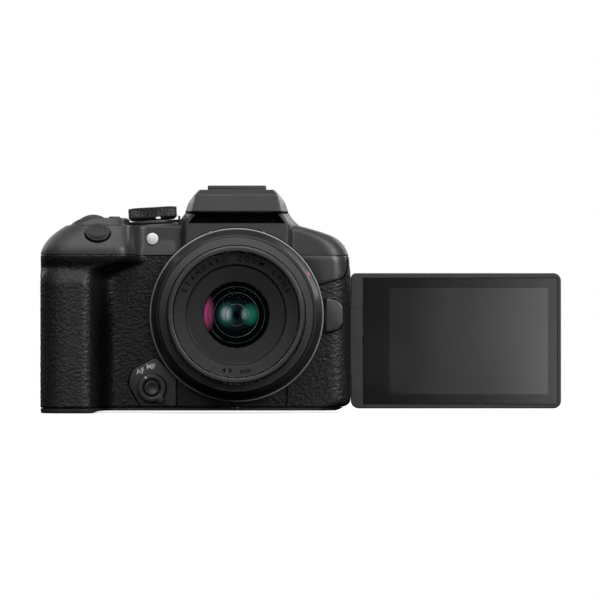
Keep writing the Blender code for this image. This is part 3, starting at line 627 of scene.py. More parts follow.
def spun(name, outline, start, direction, steps=64, wave=None):
    """A turned solid: (radius, distance) points round an axis from a start point.

    The outline runs from its first to its last point and closes on itself, or on the axis where it
    begins and ends at radius 0. wave(angle, radius, distance) moves the radius for ribs and knurls.
    """
    direction = Vector(direction).normalized()
    turn = direction.to_track_quat("Z", "Y").to_matrix()
    base = at(*start)
    shape = bmesh.new()
    rings = []
    for radius, distance in outline:
        if radius == 0.0:
            rings.append([shape.verts.new(base + direction * distance * MM)])
            continue
        ring = []
        for k in range(steps):
            angle = 2.0 * math.pi * k / steps
            r = radius + (wave(angle, radius, distance) if wave else 0.0)
            spoke = Vector((r * math.cos(angle), r * math.sin(angle), distance)) * MM
            ring.append(shape.verts.new(base + turn @ spoke))
        rings.append(ring)
    pairs = list(zip(rings, rings[1:]))
    if len(rings[0]) > 1 or len(rings[-1]) > 1:
        pairs.append((rings[-1], rings[0]))
    for first, second in pairs:
        for k in range(steps):
            j = (k + 1) % steps
            corners = [first[k % len(first)], first[j % len(first)],
                       second[j % len(second)], second[k % len(second)]]
            unique = list(dict.fromkeys(corners))
            if len(unique) > 2:
                shape.faces.new(unique)
    return mesh_object(name, shape)


def soften(outline, radius):
    """Round the corners of an open (radius, distance) outline, leaving its ends alone."""
    steps = 3
    points = [outline[0]]
    for i in range(1, len(outline) - 1):
        here = Vector(outline[i])
        back = Vector(outline[i - 1]) - here
        ahead = Vector(outline[i + 1]) - here
        reach = min(radius, 0.45 * back.length, 0.45 * ahead.length)
        first = here + back.normalized() * reach
        last = here + ahead.normalized() * reach
        for k in range(steps + 1):
            t = k / steps
            point = first * (1 - t) ** 2 + here * 2 * t * (1 - t) + last * t ** 2
            points.append((point.x, point.y))
    points.append(outline[-1])
    return points


def upper_arc(radius, high, fillet, steps):
    """Rounded upper edge of a turned part, from its foot, as (radius, distance) points."""
    angles = [math.pi / 2.0 * k / steps for k in range(steps + 1)]
    return [(radius - fillet + fillet * math.cos(angle), high - fillet + fillet * math.sin(angle))
            for angle in angles]


def knob(name, start, direction, radius, low, high, fillet=0.5, dish=0.0, steps=64):
    """A round button with a filleted rim and a dished or domed face."""
    outline = [(0.0, low), (radius - 0.1, low), (radius, low + 0.1), (radius, high - fillet),
               *upper_arc(radius, high, fillet, 5)[1:]]
    inner = radius - fillet
    for k in range(5, -1, -1):
        share = k / 6.0
        outline.append((inner * share, high - dish * (1.0 - share ** 2)))
    return spun(name, outline, start, direction, steps)


def rod(name, start, end, radius, steps=48):
    """A plain cylinder between two points."""
    start = Vector(start)
    run = Vector(end) - start
    outline = ((0.0, 0.0), (radius, 0.0), (radius, run.length), (0.0, run.length))
    return spun(name, outline, start, run, steps)


def rod_y(name, x, z, radius, low, high, steps=48):
    """A plain cylinder along Y."""
    return rod(name, (x, low, z), (x, high, z), radius, steps)


def rounded(corners, steps=None):
    """Outline points for (x, y, radius) corners, each corner an arc."""
    steps = steps or ARC_STEPS
    points = []
    count = len(corners)
    for i, (x, y, radius) in enumerate(corners):
        here = Vector((x, y))
        back = Vector(corners[i - 1][:2]) - here
        ahead = Vector(corners[(i + 1) % count][:2]) - here
        half = back.angle(ahead) / 2.0
        reach = min(radius / math.tan(half), 0.49 * back.length, 0.49 * ahead.length)
        radius = reach * math.tan(half)
        middle = here + (back.normalized() + ahead.normalized()).normalized() * (
            radius / math.sin(half))
        first = here + back.normalized() * reach - middle
        last = here + ahead.normalized() * reach - middle
        sweep = -first.angle_signed(last)
        for k in range(steps + 1):
            spin = sweep * k / steps
            arm = Vector((first.x * math.cos(spin) - first.y * math.sin(spin),
                          first.x * math.sin(spin) + first.y * math.cos(spin)))
            points.append(middle + arm)
    return points


def inset_corners(corners, inset):
    """Move every side of an anticlockwise outline inwards, keeping its corner arcs concentric."""
    moved = []
    count = len(corners)
    for i, (x, y, radius) in enumerate(corners):
        here = Vector((x, y))
        before = (here - Vector(corners[i - 1][:2])).normalized()
        after = (Vector(corners[(i + 1) % count][:2]) - here).normalized()
        normals = Vector((-before.y, before.x)) + Vector((-after.y, after.x))
        point = here + normals * inset / (1.0 + before.dot(after))
        turn = 1.0 if before.x * after.y - before.y * after.x > 0.0 else -1.0
        moved.append((point.x, point.y, max(0.25, radius - inset * turn)))
    return moved


def grown(corners, margin):
    """Corners with the sides moved out by a margin, whichever way round they run."""
    area = sum(a[0] * b[1] - b[0] * a[1] for a, b in zip(corners, (*corners[1:], corners[0])))
    return inset_corners(corners, -margin if area > 0.0 else margin)


def loft(name, sections, facing="Z"):
    """A closed skin through (height, outline) sections with equal point counts, up or along Y."""
    shape = bmesh.new()
    rings = []
    for height, outline in sections:
        if facing == "Z":
            rings.append([shape.verts.new(at(x, y, height)) for x, y in outline])
        else:
            rings.append([shape.verts.new(at(x, height, z)) for x, z in outline])
    count = len(rings[0])
    for low, high in zip(rings, rings[1:]):
        for i in range(count):
            j = (i + 1) % count
            shape.faces.new((low[i], low[j], high[j], high[i]))
    shape.faces.new(list(reversed(rings[0])))
    shape.faces.new(rings[-1])
    return mesh_object(name, shape)


def slab(name, outline, low, high, facing="Z", bevel=0.0, segments=3):
    """A flat outline extruded between two heights, facing up or along Y."""
    made = loft(name, ((low, outline), (high, outline)), facing)
    return round_edges(made, bevel, segments) if bevel else made


def even(points, count):
    """A closed outline resampled to evenly spaced points."""
    ring = np.array([tuple(p) for p in points] + [tuple(points[0])])
    steps = np.hypot(*np.diff(ring, axis=0).T)
    along = np.concatenate(([0.0], np.cumsum(steps)))
    wanted = np.linspace(0.0, along[-1], count, endpoint=False)
    return list(zip(np.interp(wanted, along, ring[:, 0]), np.interp(wanted, along, ring[:, 1])))


def melt(target, voxel=VOXEL, passes=6):
    """Fuse a rough solid into one smooth skin with soft blends between its masses."""
    remesh = target.modifiers.new("fused", "REMESH")
    remesh.mode = "VOXEL"
    remesh.voxel_size = voxel * MM
    relax = target.modifiers.new("relaxed", "SMOOTH")
    relax.factor = 0.5
    relax.iterations = passes
    return freeze(target)


# ---------------------------------------------------------------- finishing

LOOKS = {}


def finish(target, look, body, *nodes, sharp=35.0):
    """Give a piece its finish, let it ride on its body and stand for its CAD nodes."""
    target.data.materials.clear()
    target.data.materials.append(LOOKS[look])
    target.data.shade_smooth()
    if sharp:
        target.data.set_sharp_from_angle(angle=math.radians(sharp))
    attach(target, body)
    if nodes:
        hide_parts(*nodes)
    return target


def lettering(name, words, size, place, turn, body, look="mark_paint", depth=0.05):
    """Small printed marks as thin relief, centred on a place."""
    curve = bpy.data.curves.new(name, "FONT")
    curve.body = words
    curve.size = size * MM
    curve.extrude = depth * MM
    curve.offset = 0.012 * size * MM
    curve.align_x = "CENTER"
    curve.align_y = "CENTER"
    draft = add(name + "_draft", curve)
    draft.matrix_world = Matrix.Translation(at(*place)) @ turn
    mesh = settled(draft)
    bpy.data.objects.remove(draft, do_unlink=True)
    return finish(add(name, mesh), look, body, sharp=0.0)


# ---------------------------------------------------------------- body shells

def body_corners(z, inset=0.0):
    """Corners of the body's outline at a height."""
    left = soft_level(LEFT_EDGE, z)
    right = soft_level(RIGHT_EDGE, z)
    nose = soft_level(NOSE_EDGE, z)
    lobe = soft_level(LOBE_EDGE, z, 1.3)
    hollow = soft_level(HOLLOW_EDGE, z, 1.3)
    corners = ((left, BODY_REAR, 6.0), (left, nose, 13.0), (lobe, nose, 6.0),
               (hollow, BODY_FRONT, 5.0), (right, BODY_FRONT, 9.0), (right, BODY_REAR, 4.0))
    return inset_corners(corners, inset)


def heights(low, high, step):
    """Evenly spaced heights from low to high."""
    return np.linspace(low, high, max(2, int(round((high - low) / step)) + 1))


def body_solid(name, low, high, inset=0.0, step=1.5, points=0, lip=0.0):
    """The body between two heights; lip rounds both end edges over."""
    sections = []
    for z in heights(low, high, step):
        edge = min(z - low, high - z)
        roll = lip - math.sqrt(max(0.0, lip ** 2 - (lip - edge) ** 2)) if edge < lip else 0.0
        outline = rounded(body_corners(z, inset + roll), 16 if points else None)
        sections.append((z, even(outline, points) if points else outline))
    return loft(name, sections)


def cell_walls(points, size):
    """How far each point lies from the border between its two nearest grain centres, 0 to 1."""
    points = points / size
    home = np.floor(points)
    nearest = np.full(len(points), 9.0)
    second = np.full(len(points), 9.0)
    for offset in np.ndindex(3, 3, 3):
        cell = home + np.array(offset) - 1.0
        swirl = np.sin(cell @ CELL_MIX) * CELL_SCALE
        centre = cell + 0.1 + 0.8 * (swirl - np.floor(swirl))
        distance = np.linalg.norm(points - centre, axis=1)
        second = np.minimum(second, np.maximum(nearest, distance))
        nearest = np.minimum(nearest, distance)
    return np.clip(second - nearest, 0.0, 1.0)


def pebble(target):
    """Raise leather grain on a dense skin: domed grains with creases between them."""
    mesh = target.data
    count = len(mesh.vertices)
    places = np.empty(count * 3)
    mesh.vertices.foreach_get("co", places)
    places = places.reshape(count, 3) / MM
    normals = np.array([tuple(v.vector) for v in mesh.vertex_normals])
    grain = np.minimum(1.0, cell_walls(places, GRAIN_SIZE) * 2.4)
    fine = np.minimum(1.0, cell_walls(places + 7.3, GRAIN_SIZE * 0.55) * 2.0)
    lift = (grain - 0.9) * GRAIN_DEPTH + (fine - 0.8) * GRAIN_DEPTH * 0.4
    places += normals * lift[:, None]
    mesh.vertices.foreach_set("co", (places * MM).ravel())
    mesh.update()


def grip_step():
    """The space under the base plate, beside the deeper foot of the grip, with an S-shaped edge."""
    outline = [(60.0, -1.0), (60.0, BASE_STEP), (STEP_X, BASE_STEP)]
    for k in range(9):
        t = k / 8.0
        outline.append((STEP_X - 2.6 * t, BASE_STEP * (0.5 + 0.5 * math.cos(math.pi * t))))
    outline.append((STEP_X - 2.7, -1.0))
    return slab("grip_step", outline, -60.0, 60.0, "Y")


def skin(name, step=1.5, points=0):
    """The outer layer of the front, from the base plate to the top cover."""
    layer = body_solid(name, SHELL_LOW, SHELL_HIGH, 0.0, step, points, 0.2)
    return cut(layer, body_solid("core", SHELL_LOW - 1.1, SHELL_HIGH + 1.1, SKIN),
               beyond("behind", y=(SPLIT_Y - GAP / 2, 40.0)),
               rod_y("throat", 0.0, AXIS_Z, 33.8, -60.0, 0.0, 96))


def outline_block(name, corners, grow, low, high, bevel=0.0):
    """An (x, z) outline, grown by a margin, as a block between two y positions."""
    return slab(name, rounded(grown(corners, grow)), low, high, "Y", bevel)


def port_space(name, low, high, grow=0.0):
    """The block that a port cover fills in the side."""
    return block(name, (40.0, PORT_Y[0] - grow, low - grow),
                 (50.0, PORT_Y[1] + grow, high + grow), 0.8)


def make_skins():
    """Leatherette, badge plate, switch plate and port covers."""
    grip = skin("grip_leather", LEATHER_STEP, LEATHER_POINTS)
    cut(grip, beyond("limit", x=(SEAM_X - GAP / 2, 60.0)),
        outline_block("hole", SWITCH_CORNERS, GAP, -30, -10))
    pebble(grip)
    finish(grip, "leatherette", "root", "grip_cover", sharp=50.0)
    side = skin("side_leather", LEATHER_STEP, LEATHER_POINTS)
    cut(side, beyond("limit", x=(-90.0, SEAM_X + GAP / 2)),
        outline_block("badge", BADGE_CORNERS, 0.4, -30, 0),
        outline_block("release", RELEASE_CORNERS, GAP, -30, 0),
        *(port_space(name, low, high, GAP) for name, (low, high) in PORTS.items()))
    pebble(side)
    finish(side, "leatherette", "root", "side_cover", sharp=50.0)
    badge = keep(skin("badge"), outline_block("area", BADGE_CORNERS, 0, -30, 0))
    round_edges(badge, 0.15, 2)
    finish(badge, "smooth_plastic", "root", "badge_plate")
    switch = outline_block("switch_panel", SWITCH_CORNERS, 0, BODY_FRONT, BODY_FRONT + SKIN, 0.2)
    cut(switch, rod_y("bore", *LEVER_AT, LEVER_BORE, -30.0, 0.0))
    finish(switch, "control_satin", "root", "switch_plate")
    for name, (low, high) in PORTS.items():
        cover = keep(skin(name + "_door"), port_space("area", low, high))
        round_edges(cover, 0.15, 2)
        finish(cover, "rubber", name, name)


def make_base():
    """Base plate, tripod bush and battery door."""
    base = body_solid("base", 0.0, 1.8, 0.0, 0.3)
    cut(base, grip_step(), block("recess_space", *RECESS),
        slab("door_hole", rounded(inset_corners(DOOR_CORNERS, -GAP)), -1.0, 3.0),
        rod("bush_hole", (0, TRIPOD_Y, -1), (0, TRIPOD_Y, 4), 4.9))
    finish(base, "shell_plastic", "root", "base_plate")
    door = slab("battery_hatch", rounded(DOOR_CORNERS), 0.0, 1.5, "Z", 0.3)
    latch = slab("latch_well", rounded(((-71.5, -8.0, 1.2), (-71.5, -19.0, 1.2), (-67.0, -19.0, 1.2),
                                        (-67.0, -8.0, 1.2))), -1.0, 0.5)
    cut(door, grip_step(), latch)
    finish(door, "shell_plastic", "battery_door", "battery_door")
    slider = block("battery_latch", (-70.9, -17.5, 0.12), (-67.6, -11.5, 0.48), 0.15, 2)
    finish(slider, "rubber", "battery_door")
    outline = [(4.6, 0.0), (4.6, 3.9), (3.3, 3.9)]
    for k in range(9):
        outline += [(3.2, 3.7 - k * 0.4), (2.85, 3.5 - k * 0.4)]
    outline += [(3.2, 0.1), (3.4, 0.0)]
    bush = spun("tripod_socket", outline, (0, TRIPOD_Y, BASE_STEP), (0, 0, 1), 64)
    finish(bush, "bright_metal", "root", "tripod_bush")


def make_rear():
    """Rear cover with the screen well, thumb rest, control bores and a lip beside the screen."""
    rear = body_solid("rear_cover", SHELL_LOW, SHELL_HIGH, lip=0.3)
    cavity = body_solid("cavity", SHELL_LOW - 1.1, SHELL_HIGH + 1.1, WALL)
    cut(cavity, beyond("well_wall", x=(RECESS[0][0] - WALL, 60.0), y=(RECESS[0][1] - WALL, 40.0)))
    cutters = [beyond("ahead", y=(-60.0, SPLIT_Y + GAP / 2)), block("well", *RECESS), cavity]
    for x, z, radius in (*REAR_BUTTONS.values(), JOYSTICK, (*PAD_AT, PAD_R)):
        cutters.append(rod_y("bore", x, z, radius + GAP, 8.0, 20.0))
    cut(rear, *cutters)
    join(rear, block("side_lip", (44.2, 5.4, 5.5), (45.7, 9.1, 54.0), 0.25))
    finish(rear, "shell_plastic", "root", "rear_shell")
    rest = block("thumb_pad", (-74.5, BODY_REAR + GAP, 37.0), (-62.5, 19.6, 60.5), 2.6, 5)
    melt(rest, 0.4, 4)
    pebble(rest)
    finish(rest, "leatherette", "root", "thumb_rest", sharp=60.0)


# ---------------------------------------------------------------- top

def both_sides(*corners):
    """An outline's corners on both sides, from those on the right, given from back to front."""
    left = [(-x, y, radius) for x, y, radius in corners]
    return (*left, *reversed(corners))


def hump_outline(z, front, rear, face, cheek):
    """Outline of the viewfinder hump at a height: a flat face, then cheeks that flare back."""
    half = soft_level(HUMP_EDGE, z, 1.2) + 0.25
    return rounded(both_sides((half, rear, 3.0), (half, front + cheek, 3.5), (face, front, 0.8)), 5)


def tapered(name, stations, low, high):
    """A tapered block across the hump: (height, half width) stations, between two y positions."""
    return loft(name, [(z, ((-half, low), (half, low), (half, high), (-half, high)))
                       for z, half in stations])


def rise_outline(z):
    """Outline of the raised deck over the grip at a height."""
    left = soft_level(RISE_EDGE, z, 0.5)
    front = -36.4 + 0.4 * (left - RISE_EDGE[0][1])
    corners = ((left, 14.6, 4.0), (left, front, 7.0), (-44.8, front, 5.0), (-43.0, -16.8, 2.0),
               (-43.0, 14.6, 2.0))
    return rounded(corners)


def mode_point(distance):
    """A point on the mode dial's axis, which leans towards the grip."""
    x, y, z = MODE_AT
    return (x - distance * math.sin(MODE_TILT), y, z + distance * math.cos(MODE_TILT))


def shutter_point(distance):
    """A point on the shutter button's axis, a distance above the slope it sits in."""
    x, y, z = SHUTTER_AT
    return (x, y - distance * math.sin(SHUTTER_TILT), z + distance * math.cos(SHUTTER_TILT))


def brow_outline(dip):
    """Outline of the brow over the focus lamp, drawn back by a dip."""
    return rounded(((-43.5, -17.0, 0.5), (-41.0, -19.4 + dip, 5.0), (-25.0, -19.4 + dip, 5.0),
                    (-20.0, -16.0, 0.5), (-20.0, -10.0, 0.5), (-43.5, -10.0, 0.5)))


BROW_DIP = ((61.0, -0.3), (64.0, 0.1), (67.0, 0.6), (70.0, 1.3), (72.5, 2.1), (73.6, 2.8),
            (74.4, 3.9))


def top_mass():
    """The solid of the top cover: shoulder, decks and hump, blended into one moulding."""
    top = body_solid("top_cover", 60.0, DECK_Z, step=0.7)
    rise = loft("rise", [(z, rise_outline(z)) for z in (72.0, *heights(DECK_Z, RISE_Z, 0.4))])
    boss = rod("boss", mode_point(-3.0), mode_point(-GAP), COLLAR_R + 0.9, 96)
    brow = loft("brow", [(z, brow_outline(dip)) for z, dip in BROW_DIP])
    foot = loft("foot", [(z, hump_outline(z, PLATE_Y, HUMP_REAR, HUMP_FACE, HUMP_CHEEK))
                         for z in heights(61.0, 75.0, 0.7)])
    neck = loft("neck", [(z, hump_outline(z, PLATE_Y, HUMP_REAR, level(NECK_FACE, z), HUMP_CHEEK))
                         for z in heights(74.5, FLASH_FOOT - GAP, 0.4)])
    back = loft("back", [(z, hump_outline(z, HUMP_SPLIT, HUMP_REAR,
                                          soft_level(HUMP_EDGE, z, 1.2) - 0.8, 0.8))
                         for z in heights(78.9, HUMP_TOP, 0.5)])
    house = block("house", (-17.5, 8.0, 63.4), (17.5, HUMP_REAR, 80.0), 1.5)
    join(top, rise, boss, brow, foot, neck, back, house)
    for side in (-1.0, 1.0):
        x = side * 21.5
        cut(top, rod("valley", (x, -22.4, 58.0), (x + side * 1.6, -19.4, 77.0), 1.3, 24))
    melt(top)
    return top


def control_space():
    """Wells and bores in the top cover for its dials and buttons, the focus lamp and the lens."""
    x, y, z = MAIN_DIAL_AT
    quick_x, quick_y = QUICK_AT
    spaces = [rod("mode_well", mode_point(-GAP), mode_point(6.0), COLLAR_R + GAP, 96),
              rod_y("lamp", *LAMP_AT, 2.7, -30.0, -10.0),
              rod("shutter", shutter_point(-9), shutter_point(9), 5.3),
              rod("shutter_rim", shutter_point(0.1), shutter_point(9), 6.1),
              rod_y("dial", x, z, MAIN_DIAL_R + GAP, y - 3.3, y + 3.3, 96),
              rod("quick", (quick_x, quick_y, 72.0), (quick_x, quick_y, 80.0), QUICK_R + GAP, 96),
              block("quick_side", (quick_x - 5.0, quick_y, 72.0), (quick_x + 5.0, 20.0, 80.0)),
              rod_y("throat", 0.0, AXIS_Z, BARREL_R + 0.4, -60.0, -15.5, 128)]
    for x, y, radius in TOP_BUTTONS.values():
        spaces.append(rod("bore", (x, y, 69.0), (x, y, 80.0), radius + GAP))
    for x, z, radius in TOP_REAR_BUTTONS.values():
        spaces.append(rod_y("bore", x, z, radius + GAP, 8.0, 20.0))
    return spaces


def add_lug_pocket(top, x, y, z):
    """Give the top cover a lined pocket for a strap lug."""
    inner, outer = x - math.copysign(2.0, x), x + math.copysign(8.0, x)
    housing = block("housing", (min(inner, x) - 1.4, y - 5.9, z - 4.6),
                    (max(inner, x) + 1.4, y + 5.9, z + 4.6))
    keep(housing, body_solid("limit", 62.6, DECK_Z, 0.3))
    join(top, housing)
    cut(top, block("pocket", (min(inner, outer), y - 4.5, z - 3.2),
                   (max(inner, outer), y + 4.5, z + 3.2), 0.8))


def make_top():
    """Top cover with its wells, windows and bores, its strap lugs and the focus lamp, and a black sheet
    of painted shade in the recess under the flash head.
    """
    top = top_mass()
    cut(top, beyond("lower", z=(50.0, 62.55)),
        body_solid("cavity", 61.5, DECK_Z - WALL, WALL),
        block("tunnel", (-14.0, -3.0, 63.6 + WALL), (14.0, HUMP_REAR - WALL, 84.0)),
        block("window", (-11.0, 15.0, EYE_Z - 7.6), (11.0, 30.0, EYE_Z + 7.6), 1.5),
        block("well", (-12.0, -4.3, 86.9), (12.0, 30.0, 95.0)),
        tapered("recess", ((75.0, 19.4), (FLASH_FOOT, 15.6)), -30.0, RECESS_Y),
        *control_space())
    for place in LUGS.values():
        add_lug_pocket(top, *place)
    finish(top, "shell_plastic", "root", "top_shell", sharp=40.0)
    # a black sheet of painted shade in the recess under the flash head
    recess_shade = tapered("flash_recess_shade", ((75.1, 19.3), (79.1, 16.1)), RECESS_Y - 0.25, RECESS_Y - 0.02)
    finish(recess_shade, "flocking_and_painted_shade", "root")
    for name, (x, y, z) in LUGS.items():
        finish(rod_y(name + "_bar", x, z, 0.9, y - 4.2, y + 4.2), "bright_metal", "root", name)
    x, z = LAMP_AT
    lamp = knob("focus_lamp", (x, -15.0, z), (0, -1, 0), 2.4, 0.0, 4.2, 0.5, -0.4)
    finish(lamp, "lamp_lens", "root", "af_lamp", sharp=0.0)


def make_flash():
    """Pop-up flash head with its window."""
    sections = []
    for z in heights(FLASH_FOOT, HUMP_TOP, 0.4):
        share = (z - FLASH_FOOT) / (HUMP_TOP - FLASH_FOOT)
        roll = max(0.0, share - 0.78) / 0.22
        face_y = FLASH_FRONT + 0.9 * share + 4.6 * roll
        face_half = 17.7 - 2.0 * share - 1.2 * roll
        half = soft_level(HUMP_EDGE, z, 1.0) + 0.25
        corners = both_sides((half, FLASH_REAR, 0.4), (half, -15.0, 5.0), (face_half, face_y, 0.5))
        sections.append((z, rounded(corners, 4)))
    head = loft("flash_cover", sections)
    melt(head, VOXEL * 0.7, 2)
    cut(head, block("pocket", (-14.0, -24.0, 70.0), (14.0, -9.0, FLASH_FOOT + 4.5)))
    finish(head, "shell_plastic", "flash_head", "flash_head", sharp=40.0)
    window = block("flash_lens", (-13.7, -23.7, FLASH_FOOT), (13.7, -9.3, FLASH_FOOT + 1.6), 0.3, 2)
    finish(window, "frosted", "flash_head", "flash_window")


def make_shoe():
    """Accessory shoe: a floor with two folded rails."""
    shoe = block("shoe", (-11.7, -4.0, 87.2), (11.7, 16.0, 90.5), 0.5, 3)
    cut(shoe, block("slot", (-9.4, -2.6, 87.9), (9.4, 30.0, 89.9)),
        block("mouth", (-6.3, -2.6, 87.9), (6.3, 30.0, 95.0)))
    finish(shoe, "shoe_metal", "root", "hot_shoe")
    for i, x in enumerate((-3.2, 0.0, 3.2, -1.6, 1.6)):
        y = 5.0 if i < 3 else 9.0
        pad = knob(f"shoe_contact_{i}", (x, y, 87.9), (0, 0, 1), 0.75, -0.05, 0.12, 0.08, 0.0, 24)
        finish(pad, "bright_metal", "root")


def tooth(turns):
    """A triangle wave between 0 and 1."""
    return abs(2.0 * (turns - math.floor(turns + 0.5)))


def diamond_knurl(radius, low, high, depth, count, twist):
    """Crossed helical grooves between two heights of a dial, 1/14 turn on for a twist of height."""
    def wave(angle, r, distance):
        """How far the surface moves out at a place."""
        if r < radius - 0.6 or not low < distance < high:
            return 0.0
        turns = angle * count / (2.0 * math.pi)
        climb = (distance - low) / twist * count / 14.0
        ridge = min(tooth(turns + climb), tooth(turns - climb))
        fade = min(1.0, (distance - low) / 0.25, (high - distance) / 0.25)
        return -depth * (1.0 - ridge) * fade
    return wave


def straight_ribs(radius, low, high, depth, count):
    """Straight ribs between two heights of a dial or ring."""
    def wave(angle, r, distance):
        """How far the surface moves out at a place."""
        if r < radius - 0.6 or not low < distance < high:
            return 0.0
        turns = angle * count / (2.0 * math.pi)
        step = min(1.0, max(0.0, (tooth(turns) - 0.32) / 0.22))
        fade = min(1.0, (distance - low) / 0.2, (high - distance) / 0.2)
        return -depth * (1.0 - step) * fade
    return wave


def rim(radius, low, high, layers, fillet):
    """Outer side of a dial from low to high, with rounded edges, as (radius, distance) points."""
    points = [(radius - fillet, low)]
    for k in range(1, 4):
        angle = math.pi / 2.0 * k / 3
        points.append((radius - fillet + fillet * math.sin(angle),
                       low + fillet - fillet * math.cos(angle)))
    for z in np.linspace(low + fillet, high - fillet, layers + 2)[1:-1]:
        points.append((radius, float(z)))
    return points + upper_arc(radius, high, fillet, 3)


def make_mode_dial():
    """Mode dial with its marks and index, and the power lever round its foot."""
    lean = Matrix.Rotation(-MODE_TILT, 4, "Y")
    upright = Matrix.Translation(at(*MODE_AT)) @ lean
    collar = spun("power_ring", [(0.0, 0.0), *rim(COLLAR_R, 0.0, 1.1, 1, 0.25), (0.0, 1.1)],
                  MODE_AT, MODE_UP, 128)
    tab = block("tab", (10.1, -2.0, 0.2 + BASE_STEP), (COLLAR_R, 2.0, 2.6 + BASE_STEP), 0.2)
    tab.matrix_world = upright
    join(collar, tab)
    finish(collar, "shell_plastic", "power_lever", "power_lever")
    low, high = 1.4, 6.5
    side = [(MODE_R, float(t)) for t in np.linspace(low + 1.3, high - 0.3, KNURL_LAYERS)]
    outline = [(0.0, low), (MODE_R - 1.3, low), (MODE_R - 0.1, low + 1.1), *side,
               (MODE_R - 0.25, high), (8.9, high), (8.7, high - 0.25), (0.0, high - 0.25)]
    dial = spun("mode_wheel", outline, MODE_AT, MODE_UP, KNURL_STEPS,
                diamond_knurl(MODE_R, low + 1.25, high - 0.25, 0.5, 60, 5.2))
    finish(dial, "dial_metal", "mode_dial", "mode_dial", sharp=30.0)
    index = block("mode_index", (1.4, -9.95, low + 0.3 + BASE_STEP), (3.2, -9.0, low + 1.0 + BASE_STEP),
                  0.1, 2)
    index.matrix_world = upright
    finish(freeze(index), "mark_paint", "mode_dial")
    for i, word in enumerate(("M", "A", "S", "P", "1", "2", "+", "o")):
        angle = math.pi / 2.0 + i * math.pi / 4.0
        spin = Matrix.Rotation(angle - math.pi / 2.0, 4, "Z")
        arm = Vector((6.3 * math.cos(angle), 6.3 * math.sin(angle), 0.0)) * MM
        lettering(f"mode_mark_{i}", word, 2.6, mode_point(high - 0.23), lean
                  @ Matrix.Translation(arm) @ spin, "mode_dial")


def make_wheels():
    """The ribbed main dial and quick dial."""
    x, y, z = MAIN_DIAL_AT
    outline = [(0.0, 0.0), *rim(MAIN_DIAL_R, 0.0, 6.0, 6, 0.5), (0.0, 6.0)]
    wheel = spun("main_wheel", outline, (x, y + 3.0, z), (0, -1, 0), DIAL_STEPS,
                 straight_ribs(MAIN_DIAL_R, 0.3, 5.7, 0.45, 40))
    finish(wheel, "satin_ring", "main_dial", "main_dial", sharp=30.0)
    outline = [(0.0, 72.3), *rim(QUICK_R, 72.3, 75.0, 6, 0.4), (6.4, 75.0), (6.2, 74.8), (0.0, 74.8)]
    wheel = spun("quick_wheel", outline, (*QUICK_AT, 0.0), (0, 0, 1), DIAL_STEPS,
                 straight_ribs(QUICK_R, 72.5, 74.8, 0.35, 36))
    finish(wheel, "satin_ring", "quick_dial", "quick_dial", sharp=30.0)


def make_top_controls():
    """Shutter button, dials, power lever and the small buttons of the top deck."""
    direction = (0.0, -math.sin(SHUTTER_TILT), math.cos(SHUTTER_TILT))
    shutter = knob("shutter_release", shutter_point(0.0), direction, 4.9, -5.0, 1.0, 0.35, 0.75, 96)
    finish(shutter, "dark_cap", "shutter_button", "shutter_button", sharp=0.0)
    make_mode_dial()
    make_wheels()
    for name, (x, y, radius) in TOP_BUTTONS.items():
        button = knob(name + "_cap", (x, y, RISE_Z), (0, 0, 1), radius, -3.9, 0.7, 0.4, 0.2)
        finish(button, "satin_ring", name, name, sharp=0.0)
    x, y, _ = TOP_BUTTONS["movie_button"]
    dot = knob("movie_dot", (x, y, RISE_Z), (0, 0, 1), 0.7, 0.4, 0.6, 0.05, 0.0, 32)
    finish(dot, "red_paint", "movie_button")


# ---------------------------------------------------------------- viewfinder and controls

def make_viewfinder():
    """Eyepiece and soft eyecup."""
    eyepiece = block("eyepiece", (-10.6, 19.0, EYE_Z - 7.2), (10.6, 21.6, EYE_Z + 7.2), 2.5, 6)
    finish(eyepiece, "eye_glass", "root", "eyepiece_lens")
    stations = ((HUMP_REAR + GAP, 15.4, 9.2), (23.0, 15.6, 9.4), (26.0, 15.7, 9.5),
                (29.0, 16.2, 10.0), (32.0, 17.2, 10.8), (34.5, 18.0, 11.4), (35.8, 17.8, 11.2),
                (36.4, 17.2, 10.6))
    sections = []
    for y, half_x, half_z in stations:
        low, high = EYE_Z - half_z, EYE_Z + half_z
        sections.append((y, rounded([(-half_x, low, 5.0), (half_x, low, 5.0),
                                     (half_x, high, 5.0), (-half_x, high, 5.0)])))
    cup = loft("eye_cup", sections, "Y")
    cut(cup, block("mouth", (-11.6, 20.0, EYE_Z - 6.6), (11.6, 40.0, EYE_Z + 6.6), 2.0, 5))
    round_edges(cup, 0.5, 3)
    finish(cup, "rubber", "root", "eyecup")


